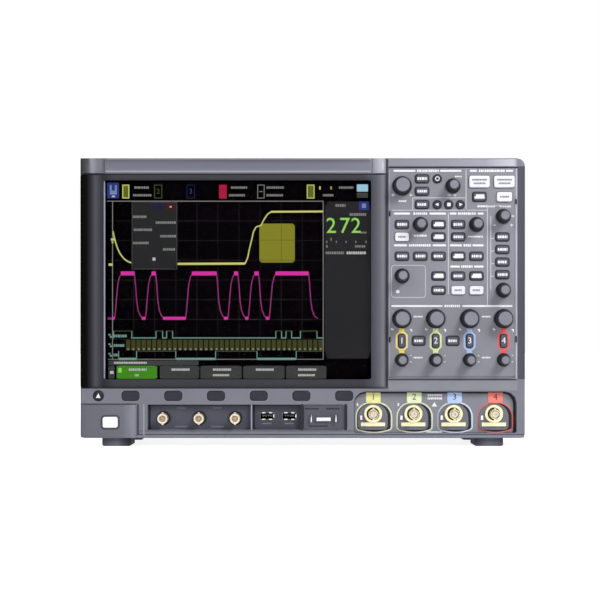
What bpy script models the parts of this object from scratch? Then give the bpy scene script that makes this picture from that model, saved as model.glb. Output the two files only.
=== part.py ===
"""Bench mixed-signal oscilloscope with logic inputs, built as it comes apart on a bench.

Metres, +Z up. The front looks towards -Y and +X is to the viewer's right. The origin is the
centre of the footprint, on the surface that the feet stand on.
"""

import math

import bmesh
import bpy
from mathutils import Matrix, Vector

MM = 0.001

# Overall sizes
WIDTH = 425.0 * MM
DEPTH = 156.0 * MM
FOOT_HEIGHT = 7.9 * MM
LOWER_BLOCK_HEIGHT = 33.3 * MM
KEY_STRIP_HEIGHT = 14.5 * MM
PANEL_LIFT = 10.7 * MM
TOP_STRIP_HEIGHT = 9.5 * MM
KNOB_PROUD = 15.0 * MM
BUMPER_PROUD = 8.0 * MM

# Shells
BEZEL_DEPTH = 40.0 * MM
BEZEL_WALL = 3.0 * MM
COVER_WALL = 2.5 * MM
POCKET_DEPTH = 6.0 * MM
POCKET_FLOOR = 3.0 * MM
EDGE_CHAMFER = 1.6 * MM
CORNER_SMALL = 2.0 * MM
CORNER_TOP_RIGHT = 7.5 * MM
CORNER_BOTTOM = 4.5 * MM
SEAT_GAP = 0.3 * MM

# Display
WINDOW_LEFT_MARGIN = 23.7 * MM
WINDOW_WIDTH = 254.3 * MM
WINDOW_HEIGHT = 191.0 * MM
WINDOW_LIFT = 8.0 * MM
WINDOW_SLOPE = 2.0 * MM
GLASS_LAP = 6.0 * MM
GLASS_THICKNESS = 2.5 * MM
LCD_LAP = 3.0 * MM
LCD_THICKNESS = 11.0 * MM
LCD_LIP = 4.0 * MM

# Control panel, with columns measured from its left edge and rows from its top edge
PANEL_WIDTH = 121.3 * MM
PANEL_RIGHT_MARGIN = 9.3 * MM
PANEL_FOOT_MARGIN = 16.3 * MM
PANEL_SINK = 0.6 * MM
PANEL_FLANGE = 1.6 * MM
PANEL_LAP = 3.0 * MM
KEY_CLEARANCE = 0.35 * MM
COLUMN_EDGE = 12.9 * MM
COLUMN_LEVEL = 30.4 * MM
COLUMN_SEARCH = 32.1 * MM
COLUMN_ZOOM = 46.6 * MM
COLUMN_ZONE = 47.8 * MM
COLUMN_POSITION = 61.4 * MM
COLUMN_MEASURE = 66.6 * MM
COLUMN_FILE = 84.0 * MM
COLUMN_RUN = 86.8 * MM
COLUMN_SOURCE = 108.8 * MM
COLUMN_SINGLE = 110.6 * MM
COLUMN_SHARED = 109.6 * MM
CHANNEL_FIRST = 12.7 * MM
CHANNEL_PITCH = 32.4 * MM
ROW_HORIZONTAL = 10.3 * MM
ROW_RUN = 13.1 * MM
ROW_TIME_KNOBS = 17.2 * MM
ROW_SEARCH = 22.3 * MM
ROW_DEFAULT = 27.6 * MM
ROW_NAVIGATE = 35.0 * MM
ROW_SHARED_SCALE = 46.3 * MM
ROW_TRIGGER = 54.0 * MM
ROW_MODE = 65.9 * MM
ROW_SOURCE_PITCH = 12.0 * MM
ROW_WAVEFORM = 84.3 * MM
ROW_TOOLS = 103.2 * MM
ROW_GENERATOR = 116.8 * MM
ROW_SCALE = 144.0 * MM
ROW_CHANNEL = 165.1 * MM
ROW_POSITION = 183.3 * MM

# Keys
KEY_WIDTH = 13.8 * MM
KEY_HEIGHT = 8.8 * MM
KEY_PROUD = 2.0 * MM
KEY_CHAMFER = 0.7 * MM
KEY_WEB = 1.6 * MM
KEY_WEB_MARGIN = 1.2 * MM
KEY_TRAVEL = 1.0 * MM
ROUND_KEY_DIAMETER = 8.5 * MM
NAVIGATE_PITCH = 11.0 * MM
RUN_KEY = (20.2 * MM, 11.9 * MM)
DEFAULT_KEY = (13.9 * MM, 9.8 * MM)
AUTO_KEY = (15.1 * MM, 9.8 * MM)
CHANNEL_KEY = (7.1 * MM, 13.2 * MM)
MATH_KEY = (13.2 * MM, 9.7 * MM)
SOFTKEY = (17.1 * MM, 9.7 * MM)
SOFTKEY_CORNER = 3.3 * MM
SOFTKEY_COUNT = 6
SOFTKEY_FIRST = 48.1 * MM
SOFTKEY_PITCH = 40.8 * MM
BACK_KEY_DIAMETER = 10.2 * MM
BACK_KEY_INSET = 17.4 * MM
POWER_KEY = (14.7 * MM, 10.5 * MM)
POWER_KEY_INSET = 28.7 * MM
POWER_KEY_LIFT = 15.2 * MM
POWER_KEY_PROUD = 1.2 * MM

# Knobs and the encoders that carry them
LARGE_KNOB = (18.6 * MM, 14.6 * MM, 13.5 * MM)
SMALL_KNOB = (14.4 * MM, 9.8 * MM, 15.0 * MM)
POSITION_KNOB = (12.9 * MM, 9.1 * MM, 15.0 * MM)
KNOB_GAP = 0.8 * MM
KNOB_SKIRT = 4.0 * MM
KNOB_EDGE = 0.8 * MM
KNOB_CROWN = 4.0 * MM
SHAFT_RADIUS = 3.0 * MM
SHAFT_CLEARANCE = 0.3 * MM
BUSH_RADIUS = 4.2 * MM
ENCODER_BODY = 12.0 * MM
ENCODER_HEIGHT = 6.0 * MM
BOARD_DROP = 8.0 * MM
BOARD_THICKNESS = 1.6 * MM
BOSS_RADIUS = 1.6 * MM
BOSS_INSET = 3.0 * MM

# Front connectors
INPUT_PITCH = 38.6 * MM
INPUT_LAST_INSET = 29.4 * MM
INPUT_LIFT = 23.1 * MM
INPUT_BAY_LEFT = 18.3 * MM
INPUT_BAY_RIGHT = 21.3 * MM
INPUT_BAY_LOW = 5.0 * MM
INPUT_BAY_HIGH = 44.6 * MM
INPUT_BAY_CORNER = 11.0 * MM
AUX_FIRST_INSET = 79.2 * MM
AUX_PITCH = 34.4 * MM
AUX_LIFT = 19.0 * MM
AUX_BAY_LEFT = 14.9 * MM
AUX_BAY_RIGHT = 15.1 * MM
BAY_LOW = 7.9 * MM
BAY_RIB = 1.2 * MM
USB_BAY_WIDTH = 46.0 * MM
USB_SOCKET = (13.8 * MM, 7.0 * MM)
USB_WALL = 0.8 * MM
USB_TONGUE = 1.8 * MM
USB_PITCH = 21.3 * MM
USB_LIFT = 20.9 * MM
USB_SHIFT = 1.75 * MM
USB_PROUD = 0.6 * MM
DEMO_BAY_WIDTH = 38.2 * MM
DEMO_BAY_GAP = 3.0 * MM
DEMO_BAY_DEPTH = 1.5 * MM
DEMO_PITCH = 23.5 * MM
DEMO_LOOP = 7.0 * MM
DEMO_WIRE = 1.3 * MM
DEMO_PROUD = 3.5 * MM
GROUND_BAR = (13.7 * MM, 3.6 * MM)
GROUND_BAR_LIFT = 18.2 * MM
IO_BOARD_DROP = 2.0 * MM
IO_BOARD_MARGIN = 3.0 * MM
BNC_RADIUS = 4.85 * MM
BNC_BORE = 4.05 * MM
BNC_CORE = 2.4 * MM
BNC_PIN_HOLE = 0.9 * MM
BNC_PROUD = 14.0 * MM
BNC_LUG = 1.1 * MM
BNC_LUG_SETBACK = 3.2 * MM
BNC_WEB = 2.0 * MM
BNC_REAR = 11.0 * MM
BNC_STEM = 5.5 * MM
INPUT_RING = 8.75 * MM
INPUT_RING_HEIGHT = 4.0 * MM
INPUT_RING_WALL = 1.4 * MM
INPUT_PLATE = (28.6 * MM, 24.9 * MM)
INPUT_PLATE_THICKNESS = 1.2 * MM
INPUT_PLATE_DROP = 3.1 * MM
CONTACT_BAR = (23.4 * MM, 4.1 * MM)
CONTACT_BAR_DROP = 10.1 * MM
CONTACT_BAR_HEIGHT = 1.5 * MM
AUX_FLANGE = 6.6 * MM
AUX_FLANGE_HEIGHT = 1.6 * MM

# Feet and tilt tabs
FOOT_SPREAD = 178.3 * MM
FOOT_WIDTH = 27.8 * MM
FOOT_LENGTH = 20.0 * MM
FOOT_SETBACK = 5.0 * MM
FOOT_CHAMFER = 2.0 * MM
EAR_WIDTH = 4.0 * MM
EAR_LENGTH = 9.0 * MM
TAB_LENGTH = 30.0 * MM
TAB_THICKNESS = 4.0 * MM
TAB_PIN_RADIUS = 1.3 * MM
TAB_SIDE_GAP = 0.35 * MM
TAB_PIN_REACH = 3.0 * MM
TAB_BARREL_SWELL = 1.02

# Rear cover, with its insets from the bezel's outline as (sides, top, bottom)
COVER_FRONT_INSETS = (2.0 * MM, 2.0 * MM, 2.0 * MM)
COVER_WAIST_INSETS = (4.0 * MM, 4.0 * MM, 3.0 * MM)
COVER_BACK_INSETS = (12.0 * MM, 10.0 * MM, 5.0 * MM)
COVER_FACE_INSETS = (18.0 * MM, 16.0 * MM, 11.0 * MM)
COVER_WAIST_LENGTH = 42.0 * MM
COVER_FACE_CHAMFER = 7.0 * MM
COVER_CORNER = 10.0 * MM
REAR_FOOT_LENGTH = 22.0 * MM
REAR_FOOT_SETBACK = 12.0 * MM
BUMPER_SIZE = 18.0 * MM
BUMPER_SPREAD = 168.0 * MM
BUMPER_LOW = 84.0 * MM
BUMPER_HIGH = 236.0 * MM
SIDE_VENTS = 8
SIDE_VENT_WIDTH = 4.2 * MM
SIDE_VENT_PITCH = 8.6 * MM
SIDE_VENT_HEIGHT = 120.0 * MM
SIDE_VENT_LIFT = 70.0 * MM

# Carry handle
HANDLE_SPAN = 150.0 * MM
HANDLE_ARM = 12.0 * MM
HANDLE_BAR = 18.0 * MM
HANDLE_REACH = 42.0 * MM
HANDLE_THICKNESS = 10.0 * MM
HANDLE_PIVOT_BACK = 18.0 * MM
HANDLE_PIN_RADIUS = 2.6 * MM
HANDLE_PIN_LENGTH = 3.0 * MM
HANDLE_SIDE_GAP = 0.5 * MM
HANDLE_TUB_WALL = 5.0 * MM
HANDLE_TUB_DEPTH = 12.5 * MM
HANDLE_FINGER_ROOM = 10.0 * MM
HANDLE_CORNER = 3.0 * MM
HANDLE_EYE_SWELL = 1.01

# Chassis, boards, power supply and fan
SHEET = 1.5 * MM
CHASSIS_FRONT_DROP = 27.0 * MM
CHASSIS_FLOOR_LIFT = 8.1 * MM
CHASSIS_REAR_SETBACK = 8.5 * MM
CHASSIS_HALF_WIDTH = 190.0 * MM
CHASSIS_TOP_MARGIN = 26.0 * MM
STANDOFF_RADIUS = 3.0 * MM
STANDOFF_HEIGHT = 2.0 * MM
MAIN_BOARD_LEFT = 150.0 * MM
MAIN_BOARD_RIGHT = 196.0 * MM
MAIN_BOARD_FRONT_DROP = 14.0 * MM
SHIELD_CAN_DEPTH = 44.0 * MM
SHIELD_CAN_HEIGHT = 14.0 * MM
SOCKET_PROUD = 3.0 * MM
SOCKET_DEPTH = 18.0 * MM
STUD_INSET = 10.0 * MM
STUD_FRONT_DROP = 20.0 * MM
STUD_REAR_DROP = 30.0 * MM
SINK_LEFT = -60.0 * MM
SINK_FRONT = -20.0 * MM
SINK_SIZE = (56.0 * MM, 45.0 * MM, 4.0 * MM)
FIN_COUNT = 6
FIN_PITCH = 10.4 * MM
FIN_THICKNESS = 1.6 * MM
FIN_HEIGHT = 18.0 * MM

# Rear connectors of the main board as name: (x, (width, height))
REAR_SOCKETS = {
    "probe": (-98.0 * MM, (62.0 * MM, 13.0 * MM)),
    "network": (-42.0 * MM, (16.2 * MM, 13.6 * MM)),
    "host": (-18.0 * MM, (14.4 * MM, 7.0 * MM)),
    "device": (3.0 * MM, (12.0 * MM, 11.0 * MM)),
    "video": (38.0 * MM, (31.0 * MM, 12.4 * MM)),
}
REAR_ROUNDS = (74.0 * MM, 100.0 * MM)
REAR_ROUND_LIFT = 9.0 * MM
REAR_ROUND_PROUD = 4.0 * MM
REAR_ROUND_BODY = (14.0 * MM, 15.0 * MM, 15.0 * MM)
REAR_BAY_MARGIN = 8.0 * MM
REAR_BAY_RISE = 21.0 * MM
NETWORK_WALLS = (4.0 * MM, 5.0 * MM)
NETWORK_MOUTH_DEPTH = 12.0 * MM
SUPPLY_SIZE = (112.0 * MM, 74.0 * MM, 78.0 * MM)
SUPPLY_RIGHT_INSET = 22.0 * MM
SUPPLY_LIFT = 62.0 * MM
INLET_OUTER = (28.0 * MM, 20.5 * MM)
INLET_CAVITY = (24.4 * MM, 16.8 * MM)
INLET_DEPTH = 15.0 * MM
INLET_CORNER = 4.5 * MM
INLET_PIN = (2.0 * MM, 4.0 * MM)
INLET_PIN_PITCH = 7.0 * MM
INLET_PIN_DROP = 2.0 * MM
INLET_PIN_SETBACK = 4.0 * MM
INLET_PROUD = 1.0 * MM
FAN_SIZE = 80.0 * MM
FAN_THICKNESS = 25.0 * MM
FAN_BORE_RADIUS = 37.5 * MM
FAN_TIP_RADIUS = 36.0 * MM
FAN_HUB_RADIUS = 15.0 * MM
FAN_BLADES = 7
FAN_BLADE_WIDTH = 13.0 * MM
FAN_BLADE_THICKNESS = 1.4 * MM
FAN_BLADE_PITCH = math.radians(50.0)
FAN_BLADE_FLARE = 0.12
FAN_MOUNT_THICKNESS = 4.0 * MM
FAN_STRUT_WIDTH = 4.0 * MM
FAN_ROTOR_DROP = 3.0 * MM
FAN_BLADE_TWIST = math.radians(32.0)
FAN_CENTRE_INSET = 105.0 * MM
FAN_CENTRE_LIFT = 142.0 * MM
FAN_PIN_RADIUS = 2.0 * MM
GRILLE_SLOTS = 8
GRILLE_SLOT_HEIGHT = 4.4 * MM
GRILLE_PITCH = 9.0 * MM
GRILLE_TAPER = 0.12

WELD_DISTANCE = 0.002 * MM
ROUND_SIDES = 18
KNOB_SIDES = 14
BNC_SIDES = 12
SMALL_SIDES = 12

# Planes and edges worked out from the sizes above
LEFT = -WIDTH / 2
RIGHT = WIDTH / 2
FRONT = -DEPTH / 2 + KNOB_PROUD
BEZEL_BACK = FRONT + BEZEL_DEPTH
COVER_START = BEZEL_BACK + SEAT_GAP
COVER_BACK = DEPTH / 2 - BUMPER_PROUD
BODY_LOW = FOOT_HEIGHT
STRIP_LOW = BODY_LOW + LOWER_BLOCK_HEIGHT
STRIP_HIGH = STRIP_LOW + KEY_STRIP_HEIGHT
PANEL_HEIGHT = ROW_POSITION + PANEL_FOOT_MARGIN
PANEL_LOW = STRIP_HIGH + PANEL_LIFT
PANEL_HIGH = PANEL_LOW + PANEL_HEIGHT
BODY_HIGH = PANEL_HIGH + TOP_STRIP_HEIGHT
PANEL_RIGHT = RIGHT - PANEL_RIGHT_MARGIN
PANEL_LEFT = PANEL_RIGHT - PANEL_WIDTH
PANEL_FRONT = FRONT + PANEL_SINK
FLANGE_FRONT = FRONT + BEZEL_WALL + SEAT_GAP
PANEL_BACK = FLANGE_FRONT + PANEL_FLANGE
KEYPAD_BOARD_FRONT = PANEL_BACK + BOARD_DROP
POCKET_PLANE = FRONT + POCKET_DEPTH
LOWER_WALL_BACK = POCKET_PLANE + POCKET_FLOOR
CHASSIS_FRONT = FRONT + CHASSIS_FRONT_DROP
CHASSIS_FLOOR = BODY_LOW + CHASSIS_FLOOR_LIFT
CHASSIS_REAR = COVER_BACK - CHASSIS_REAR_SETBACK - SHEET
MAIN_BOARD_LOW = CHASSIS_FLOOR + SHEET + STANDOFF_HEIGHT
MAIN_BOARD_HIGH = MAIN_BOARD_LOW + BOARD_THICKNESS
KEY_ROW_LIFT = STRIP_LOW + KEY_STRIP_HEIGHT / 2
SOCKET_FACE = CHASSIS_REAR + SHEET + SOCKET_PROUD


def clear_scene():
    """Removes whatever the file opened with."""
    for item in list(bpy.data.objects):
        bpy.data.objects.remove(item, do_unlink=True)


def new_object(name, bm):
    """Turns a bmesh into a linked object whose faces point out."""
    bmesh.ops.recalc_face_normals(bm, faces=bm.faces)
    mesh = bpy.data.meshes.new(name)
    bm.to_mesh(mesh)
    bm.free()
    item = bpy.data.objects.new(name, mesh)
    bpy.context.scene.collection.objects.link(item)
    return item


def loft(name, rings):
    """Skins a row of rings that have the same number of points, and caps both ends."""
    bm = bmesh.new()
    loops = [[bm.verts.new(point) for point in ring] for ring in rings]
    for near, far in zip(loops, loops[1:]):
        for i in range(len(near)):
            j = (i + 1) % len(near)
            bm.faces.new((near[i], near[j], far[j], far[i]))
    bm.faces.new(loops[0])
    bm.faces.new(loops[-1])
    return new_object(name, bm)


def rounded_ring(x0, x1, z0, z1, y, corners, steps=3):
    """A ring in a plane of constant Y. Corners run bottom left, bottom right, top right, top left."""
    radii = corners if isinstance(corners, tuple) else (corners,) * 4
    turns = ((x0, z0, 1, 1, 180), (x1, z0, -1, 1, 270), (x1, z1, -1, -1, 0), (x0, z1, 1, -1, 90))
    points = []
    for (x, z, sx, sz, start), radius in zip(turns, radii):
        if radius <= 0:
            points.append((x, y, z))
            continue
        for i in range(steps + 1):
            angle = math.radians(start + 90.0 * i / steps)
            centre_x = x + sx * radius
            centre_z = z + sz * radius
            points.append((centre_x + radius * math.cos(angle), y, centre_z + radius * math.sin(angle)))
    return points


def slab(name, x0, x1, z0, z1, y0, y1, corners=0.0, steps=3):
    """A plate between two Y planes, with rounded corners where asked."""
    rings = [rounded_ring(x0, x1, z0, z1, y, corners, steps) for y in (y0, y1)]
    return loft(name, rings)


def plate_at(name, x, z, size, y0, y1, corners=0.0, steps=3):
    """A slab centred on x and z."""
    half_width = size[0] / 2
    half_height = size[1] / 2
    outline = (x - half_width, x + half_width, z - half_height, z + half_height)
    return slab(name, *outline, y0, y1, corners, steps)


def turned(name, profile, sides, x=0.0, z=0.0):
    """Turns a profile of (radius, y), which starts and ends on the axis, about Y through x and z."""
    bm = bmesh.new()
    rings = []
    for radius, y in profile:
        if radius == 0:
            rings.append([bm.verts.new((x, y, z))])
            continue
        angles = [2 * math.pi * i / sides for i in range(sides)]
        rings.append([bm.verts.new((x + radius * math.cos(a), y, z + radius * math.sin(a))) for a in angles])
    for near, far in zip(rings, rings[1:]):
        for i in range(sides):
            j = (i + 1) % sides
            corners = [near[i % len(near)], near[j % len(near)], far[j % len(far)], far[i % len(far)]]
            bm.faces.new(list(dict.fromkeys(corners)))
    return new_object(name, bm)


def drum(name, x, z, radius, y0, y1, sides=SMALL_SIDES):
    """A cylinder along Y."""
    return turned(name, [(0, y0), (radius, y0), (radius, y1), (0, y1)], sides, x, z)


def cross_pin(name, x0, x1, y, z, radius, sides=SMALL_SIDES):
    """A cylinder along X."""
    rings = []
    for x in (x0, x1):
        angles = [2 * math.pi * i / sides for i in range(sides)]
        rings.append([(x, y + radius * math.cos(a), z + radius * math.sin(a)) for a in angles])
    return loft(name, rings)


def boolean(target, tools, operation):
    """Applies one exact boolean for each tool and removes the tools."""
    for tool in tools:
        modifier = target.modifiers.new(operation, "BOOLEAN")
        modifier.operation = operation
        modifier.solver = "EXACT"
        modifier.object = tool
        bpy.context.view_layer.update()
        graph = bpy.context.evaluated_depsgraph_get()
        mesh = bpy.data.meshes.new_from_object(target.evaluated_get(graph))
        target.modifiers.clear()
        target.data = weld(mesh)
        bpy.data.objects.remove(tool, do_unlink=True)
    return target


def weld(mesh):
    """Merges the points that a boolean leaves on top of each other."""
    bm = bmesh.new()
    bm.from_mesh(mesh)
    bmesh.ops.remove_doubles(bm, verts=bm.verts, dist=WELD_DISTANCE)
    bmesh.ops.dissolve_degenerate(bm, edges=bm.edges, dist=WELD_DISTANCE)
    bm.to_mesh(mesh)
    bm.free()
    return mesh


def fuse(target, *tools):
    """Joins solids that meet into one."""
    return boolean(target, tools, "UNION")


def cut(target, *tools):
    """Cuts tools out of a solid."""
    return boolean(target, tools, "DIFFERENCE")


def gather(name, items):
    """Puts cutters that stay clear of each other into one mesh."""
    bm = bmesh.new()
    for item in items:
        bm.from_mesh(item.data)
        bpy.data.objects.remove(item, do_unlink=True)
    return new_object(name, bm)


def finish(item, colour, roughness, metallic=0.0, smooth=False):
    """Gives a piece its own material, and smooth shading where it is round."""
    material = bpy.data.materials.new(item.name + "_finish")
    material.use_nodes = True
    shader = material.node_tree.nodes["Principled BSDF"]
    shader.inputs["Base Color"].default_value = (*colour, 1.0)
    shader.inputs["Roughness"].default_value = roughness
    shader.inputs["Metallic"].default_value = metallic
    item.data.materials.clear()
    item.data.materials.append(material)
    if smooth:
        item.data.shade_smooth()
        item.data.set_sharp_from_angle(angle=math.radians(35.0))
    return item


def place_on_axis(item, point):
    """Moves a piece's origin to a point on its joint's axis, with the piece left where it is."""
    item.data.transform(Matrix.Translation(-Vector(point)))
    item.location = point
    return item


SHELL_GREY = (0.115, 0.112, 0.135)
BLACK = (0.012, 0.012, 0.014)
KEY_GREY = (0.028, 0.029, 0.036)
LIT_WHITE = (0.82, 0.83, 0.86)
RUBBER_BLACK = (0.02, 0.02, 0.022)
GOLD = (0.72, 0.5, 0.2)
STEEL = (0.56, 0.57, 0.58)
BOARD_GREEN = (0.02, 0.12, 0.05)
IVORY = (0.62, 0.58, 0.46)


def panel_x(column):
    """World X of a column of the control panel."""
    return PANEL_LEFT + column


def panel_z(row):
    """World Z of a row of the control panel."""
    return PANEL_HIGH - row


def channel_column(index):
    """Column of one channel's knobs and key."""
    return CHANNEL_FIRST + index * CHANNEL_PITCH


def key_plan():
    """Every key group of the control panel as name: ((column, row, size or diameter), ...)."""
    standard = (KEY_WIDTH, KEY_HEIGHT)
    source_rows = [ROW_MODE + i * ROW_SOURCE_PITCH for i in range(4)]
    waveform_columns = (COLUMN_EDGE, COLUMN_LEVEL, COLUMN_ZONE, COLUMN_MEASURE, COLUMN_FILE)
    plan = {
        "horizontal_keys": [
            (COLUMN_SEARCH, ROW_HORIZONTAL, standard),
            (COLUMN_SEARCH, ROW_SEARCH, standard),
            (COLUMN_SEARCH, ROW_NAVIGATE, standard),
        ],
        "zoom_key": [(COLUMN_ZOOM, ROW_HORIZONTAL, ROUND_KEY_DIAMETER)],
        "navigate_keys": [
            (COLUMN_ZOOM + i * NAVIGATE_PITCH, ROW_NAVIGATE, ROUND_KEY_DIAMETER) for i in range(3)
        ],
        "trigger_keys": [(COLUMN_EDGE, row, standard) for row in (ROW_TRIGGER, ROW_MODE)],
        "zone_measure_keys": [
            (column, row, standard)
            for column in (COLUMN_ZONE, COLUMN_MEASURE)
            for row in (ROW_TRIGGER, ROW_MODE)
        ],
        "waveform_keys": [(column, ROW_WAVEFORM, standard) for column in waveform_columns],
        "tools_keys": [
            (column, row, standard)
            for column in (COLUMN_ZONE, COLUMN_MEASURE, COLUMN_FILE)
            for row in (ROW_TOOLS, ROW_GENERATOR)
        ],
        "source_keys": [(COLUMN_SOURCE, row, standard) for row in source_rows],
        "run_stop_key": [(COLUMN_RUN, ROW_RUN, RUN_KEY)],
        "single_key": [(COLUMN_SINGLE, ROW_RUN, RUN_KEY)],
        "default_setup_key": [(COLUMN_RUN, ROW_DEFAULT, DEFAULT_KEY)],
        "auto_scale_key": [(COLUMN_SINGLE, ROW_DEFAULT, AUTO_KEY)],
        "math_key": [(channel_column(0.5), ROW_CHANNEL, MATH_KEY)],
        "digital_key": [(channel_column(1.5), ROW_CHANNEL, MATH_KEY)],
    }
    for index in range(4):
        plan[f"channel_key_{index + 1}"] = [(channel_column(index), ROW_CHANNEL, CHANNEL_KEY)]
    return plan


def knob_plan():
    """Every knob as name: (column, row, (skirt diameter, cap diameter, height))."""
    plan = {
        "horizontal_scale_knob": (COLUMN_EDGE, ROW_TIME_KNOBS, LARGE_KNOB),
        "horizontal_position_knob": (COLUMN_POSITION, ROW_TIME_KNOBS, SMALL_KNOB),
        "trigger_level_knob": (COLUMN_LEVEL, ROW_TRIGGER, SMALL_KNOB),
        "cursors_knob": (COLUMN_FILE, ROW_TRIGGER, SMALL_KNOB),
        "shared_scale_knob": (COLUMN_SHARED, ROW_SHARED_SCALE, SMALL_KNOB),
        "shared_position_knob": (COLUMN_SHARED, ROW_GENERATOR, SMALL_KNOB),
        "entry_knob": (COLUMN_EDGE, ROW_TOOLS, SMALL_KNOB),
    }
    for index in range(4):
        column = channel_column(index)
        plan[f"scale_knob_{index + 1}"] = (column, ROW_SCALE, LARGE_KNOB)
        plan[f"position_knob_{index + 1}"] = (column, ROW_POSITION, POSITION_KNOB)
    return plan


def key_hole(x, z, size, y0, y1, corner=0.0):
    """The cutter for one key's opening."""
    if isinstance(size, tuple):
        grown = (size[0] + 2 * KEY_CLEARANCE, size[1] + 2 * KEY_CLEARANCE)
        return plate_at("hole", x, z, grown, y0, y1, corner, 1)
    return drum("hole", x, z, size / 2 + KEY_CLEARANCE, y0, y1)


def key_cap(x, z, size, front, back, corner=0.0):
    """One key's cap, with a chamfer round its face."""
    if not isinstance(size, tuple):
        radius = size / 2
        profile = [(0, front), (radius - KEY_CHAMFER, front), (radius, front + KEY_CHAMFER)]
        return turned("cap", profile + [(radius, back), (0, back)], SMALL_SIDES, x, z)
    rings = []
    for inset, y in ((KEY_CHAMFER, front), (0.0, front + KEY_CHAMFER), (0.0, back)):
        half_width = size[0] / 2 - inset
        half_height = size[1] / 2 - inset
        radius = max(0.0, corner - inset / 2)
        rings.append(
            rounded_ring(x - half_width, x + half_width, z - half_height, z + half_height, y, radius, 1)
        )
    return loft("cap", rings)


def half_extent(size):
    """Half the width and half the height of a key."""
    if isinstance(size, tuple):
        return size[0] / 2, size[1] / 2
    return size / 2, size / 2


def key_moulding(name, places, face, stop, corner=0.0):
    """Keys on one web. Places are (x, z, size), face is the caps' front and stop the wall behind them."""
    web_front = stop + SEAT_GAP
    web_back = web_front + KEY_WEB
    extents = [half_extent(size) for _, _, size in places]
    x0 = min(x - e[0] for (x, _, _), e in zip(places, extents)) - KEY_WEB_MARGIN
    x1 = max(x + e[0] for (x, _, _), e in zip(places, extents)) + KEY_WEB_MARGIN
    z0 = min(z - e[1] for (_, z, _), e in zip(places, extents)) - KEY_WEB_MARGIN
    z1 = max(z + e[1] for (_, z, _), e in zip(places, extents)) + KEY_WEB_MARGIN
    web = slab(name, x0, x1, z0, z1, web_front, web_back)
    caps = [key_cap(x, z, size, face, web_front + KEY_WEB / 2, corner) for x, z, size in places]
    fuse(web, gather("caps", caps))
    centre = (sum(x for x, _, _ in places) / len(places), face, sum(z for _, z, _ in places) / len(places))
    return place_on_axis(web, centre)


def make_panel_keys():
    """All the keys of the control panel."""
    lit = {"run_stop_key", "single_key", "auto_scale_key", "default_setup_key"}
    for name, keys in key_plan().items():
        places = [(panel_x(column), panel_z(row), size) for column, row, size in keys]
        item = key_moulding(name, places, PANEL_FRONT - KEY_PROUD, PANEL_BACK)
        finish(item, LIT_WHITE if name in lit or "channel" in name else KEY_GREY, 0.45)


def softkey_places():
    """Where the softkeys lie along the strip under the display."""
    size = SOFTKEY
    return [(LEFT + SOFTKEY_FIRST + i * SOFTKEY_PITCH, KEY_ROW_LIFT, size) for i in range(SOFTKEY_COUNT)]


def back_key_places():
    """Where the round back key lies."""
    return [(LEFT + BACK_KEY_INSET, KEY_ROW_LIFT, BACK_KEY_DIAMETER)]


def power_key_places():
    """Where the power key lies."""
    return [(LEFT + POWER_KEY_INSET, BODY_LOW + POWER_KEY_LIFT, POWER_KEY)]


def make_bezel_keys():
    """The keys that come through the bezel itself."""
    stop = FRONT + BEZEL_WALL
    softkey_face = FRONT - KEY_PROUD / 2
    softkeys = key_moulding("softkeys", softkey_places(), softkey_face, LOWER_WALL_BACK, SOFTKEY_CORNER)
    finish(softkeys, KEY_GREY, 0.4)
    finish(key_moulding("back_key", back_key_places(), FRONT - KEY_PROUD / 2, stop), KEY_GREY, 0.4)
    power = key_moulding("power_key", power_key_places(), FRONT - POWER_KEY_PROUD, stop)
    finish(power, LIT_WHITE, 0.4)


def make_knobs():
    """Knobs turned from one profile, each with a blind bore for its shaft."""
    base = PANEL_FRONT - KNOB_GAP
    bore = SHAFT_RADIUS + SHAFT_CLEARANCE
    for name, (column, row, (skirt, cap, height)) in knob_plan().items():
        front = FRONT - height
        profile = [
            (0, front),
            (cap / 2 - KNOB_EDGE, front),
            (cap / 2, front + KNOB_EDGE),
            (cap / 2 + KNOB_EDGE, base - KNOB_SKIRT),
            (skirt / 2, base - KNOB_SKIRT + 2 * KNOB_EDGE),
            (skirt / 2, base),
            (bore, base),
            (bore, front + KNOB_CROWN),
            (0, front + KNOB_CROWN),
        ]
        x = panel_x(column)
        z = panel_z(row)
        knob = turned(name, profile, KNOB_SIDES, x, z)
        place_on_axis(knob, (x, base, z))
        finish(knob, KEY_GREY, 0.45, smooth=True)


def make_keypad_board():
    """The board behind the control panel, with an encoder and its shaft for each knob."""
    inset = PANEL_LAP / 2
    board = slab(
        "keypad_board",
        PANEL_LEFT + inset,
        PANEL_RIGHT - inset,
        PANEL_LOW + inset,
        PANEL_HIGH - inset,
        KEYPAD_BOARD_FRONT,
        KEYPAD_BOARD_FRONT + BOARD_THICKNESS,
    )
    inside = KEYPAD_BOARD_FRONT + BOARD_THICKNESS / 2
    body_front = KEYPAD_BOARD_FRONT - ENCODER_HEIGHT
    bodies = []
    shafts = []
    for column, row, (_, _, height) in knob_plan().values():
        x = panel_x(column)
        z = panel_z(row)
        tip = FRONT - height + KNOB_CROWN + SHAFT_CLEARANCE
        bodies.append(plate_at("encoder", x, z, (ENCODER_BODY, ENCODER_BODY), body_front, inside))
        shafts.append(drum("shaft", x, z, SHAFT_RADIUS, tip, body_front + ENCODER_HEIGHT / 2, 8))
    fuse(board, gather("bodies", bodies), gather("shafts", shafts))
    finish(board, BOARD_GREEN, 0.5)


def boss_places():
    """Free spots of the control panel that carry its board."""
    edge = BOSS_INSET
    middle = (ROW_GENERATOR + ROW_SCALE) / 2
    low = PANEL_HEIGHT - edge
    corners = [(edge, edge), (PANEL_WIDTH - edge, edge), (edge, low), (PANEL_WIDTH - edge, low)]
    return corners + [(channel_column(0.5), middle), (channel_column(2.5), middle)]


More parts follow.
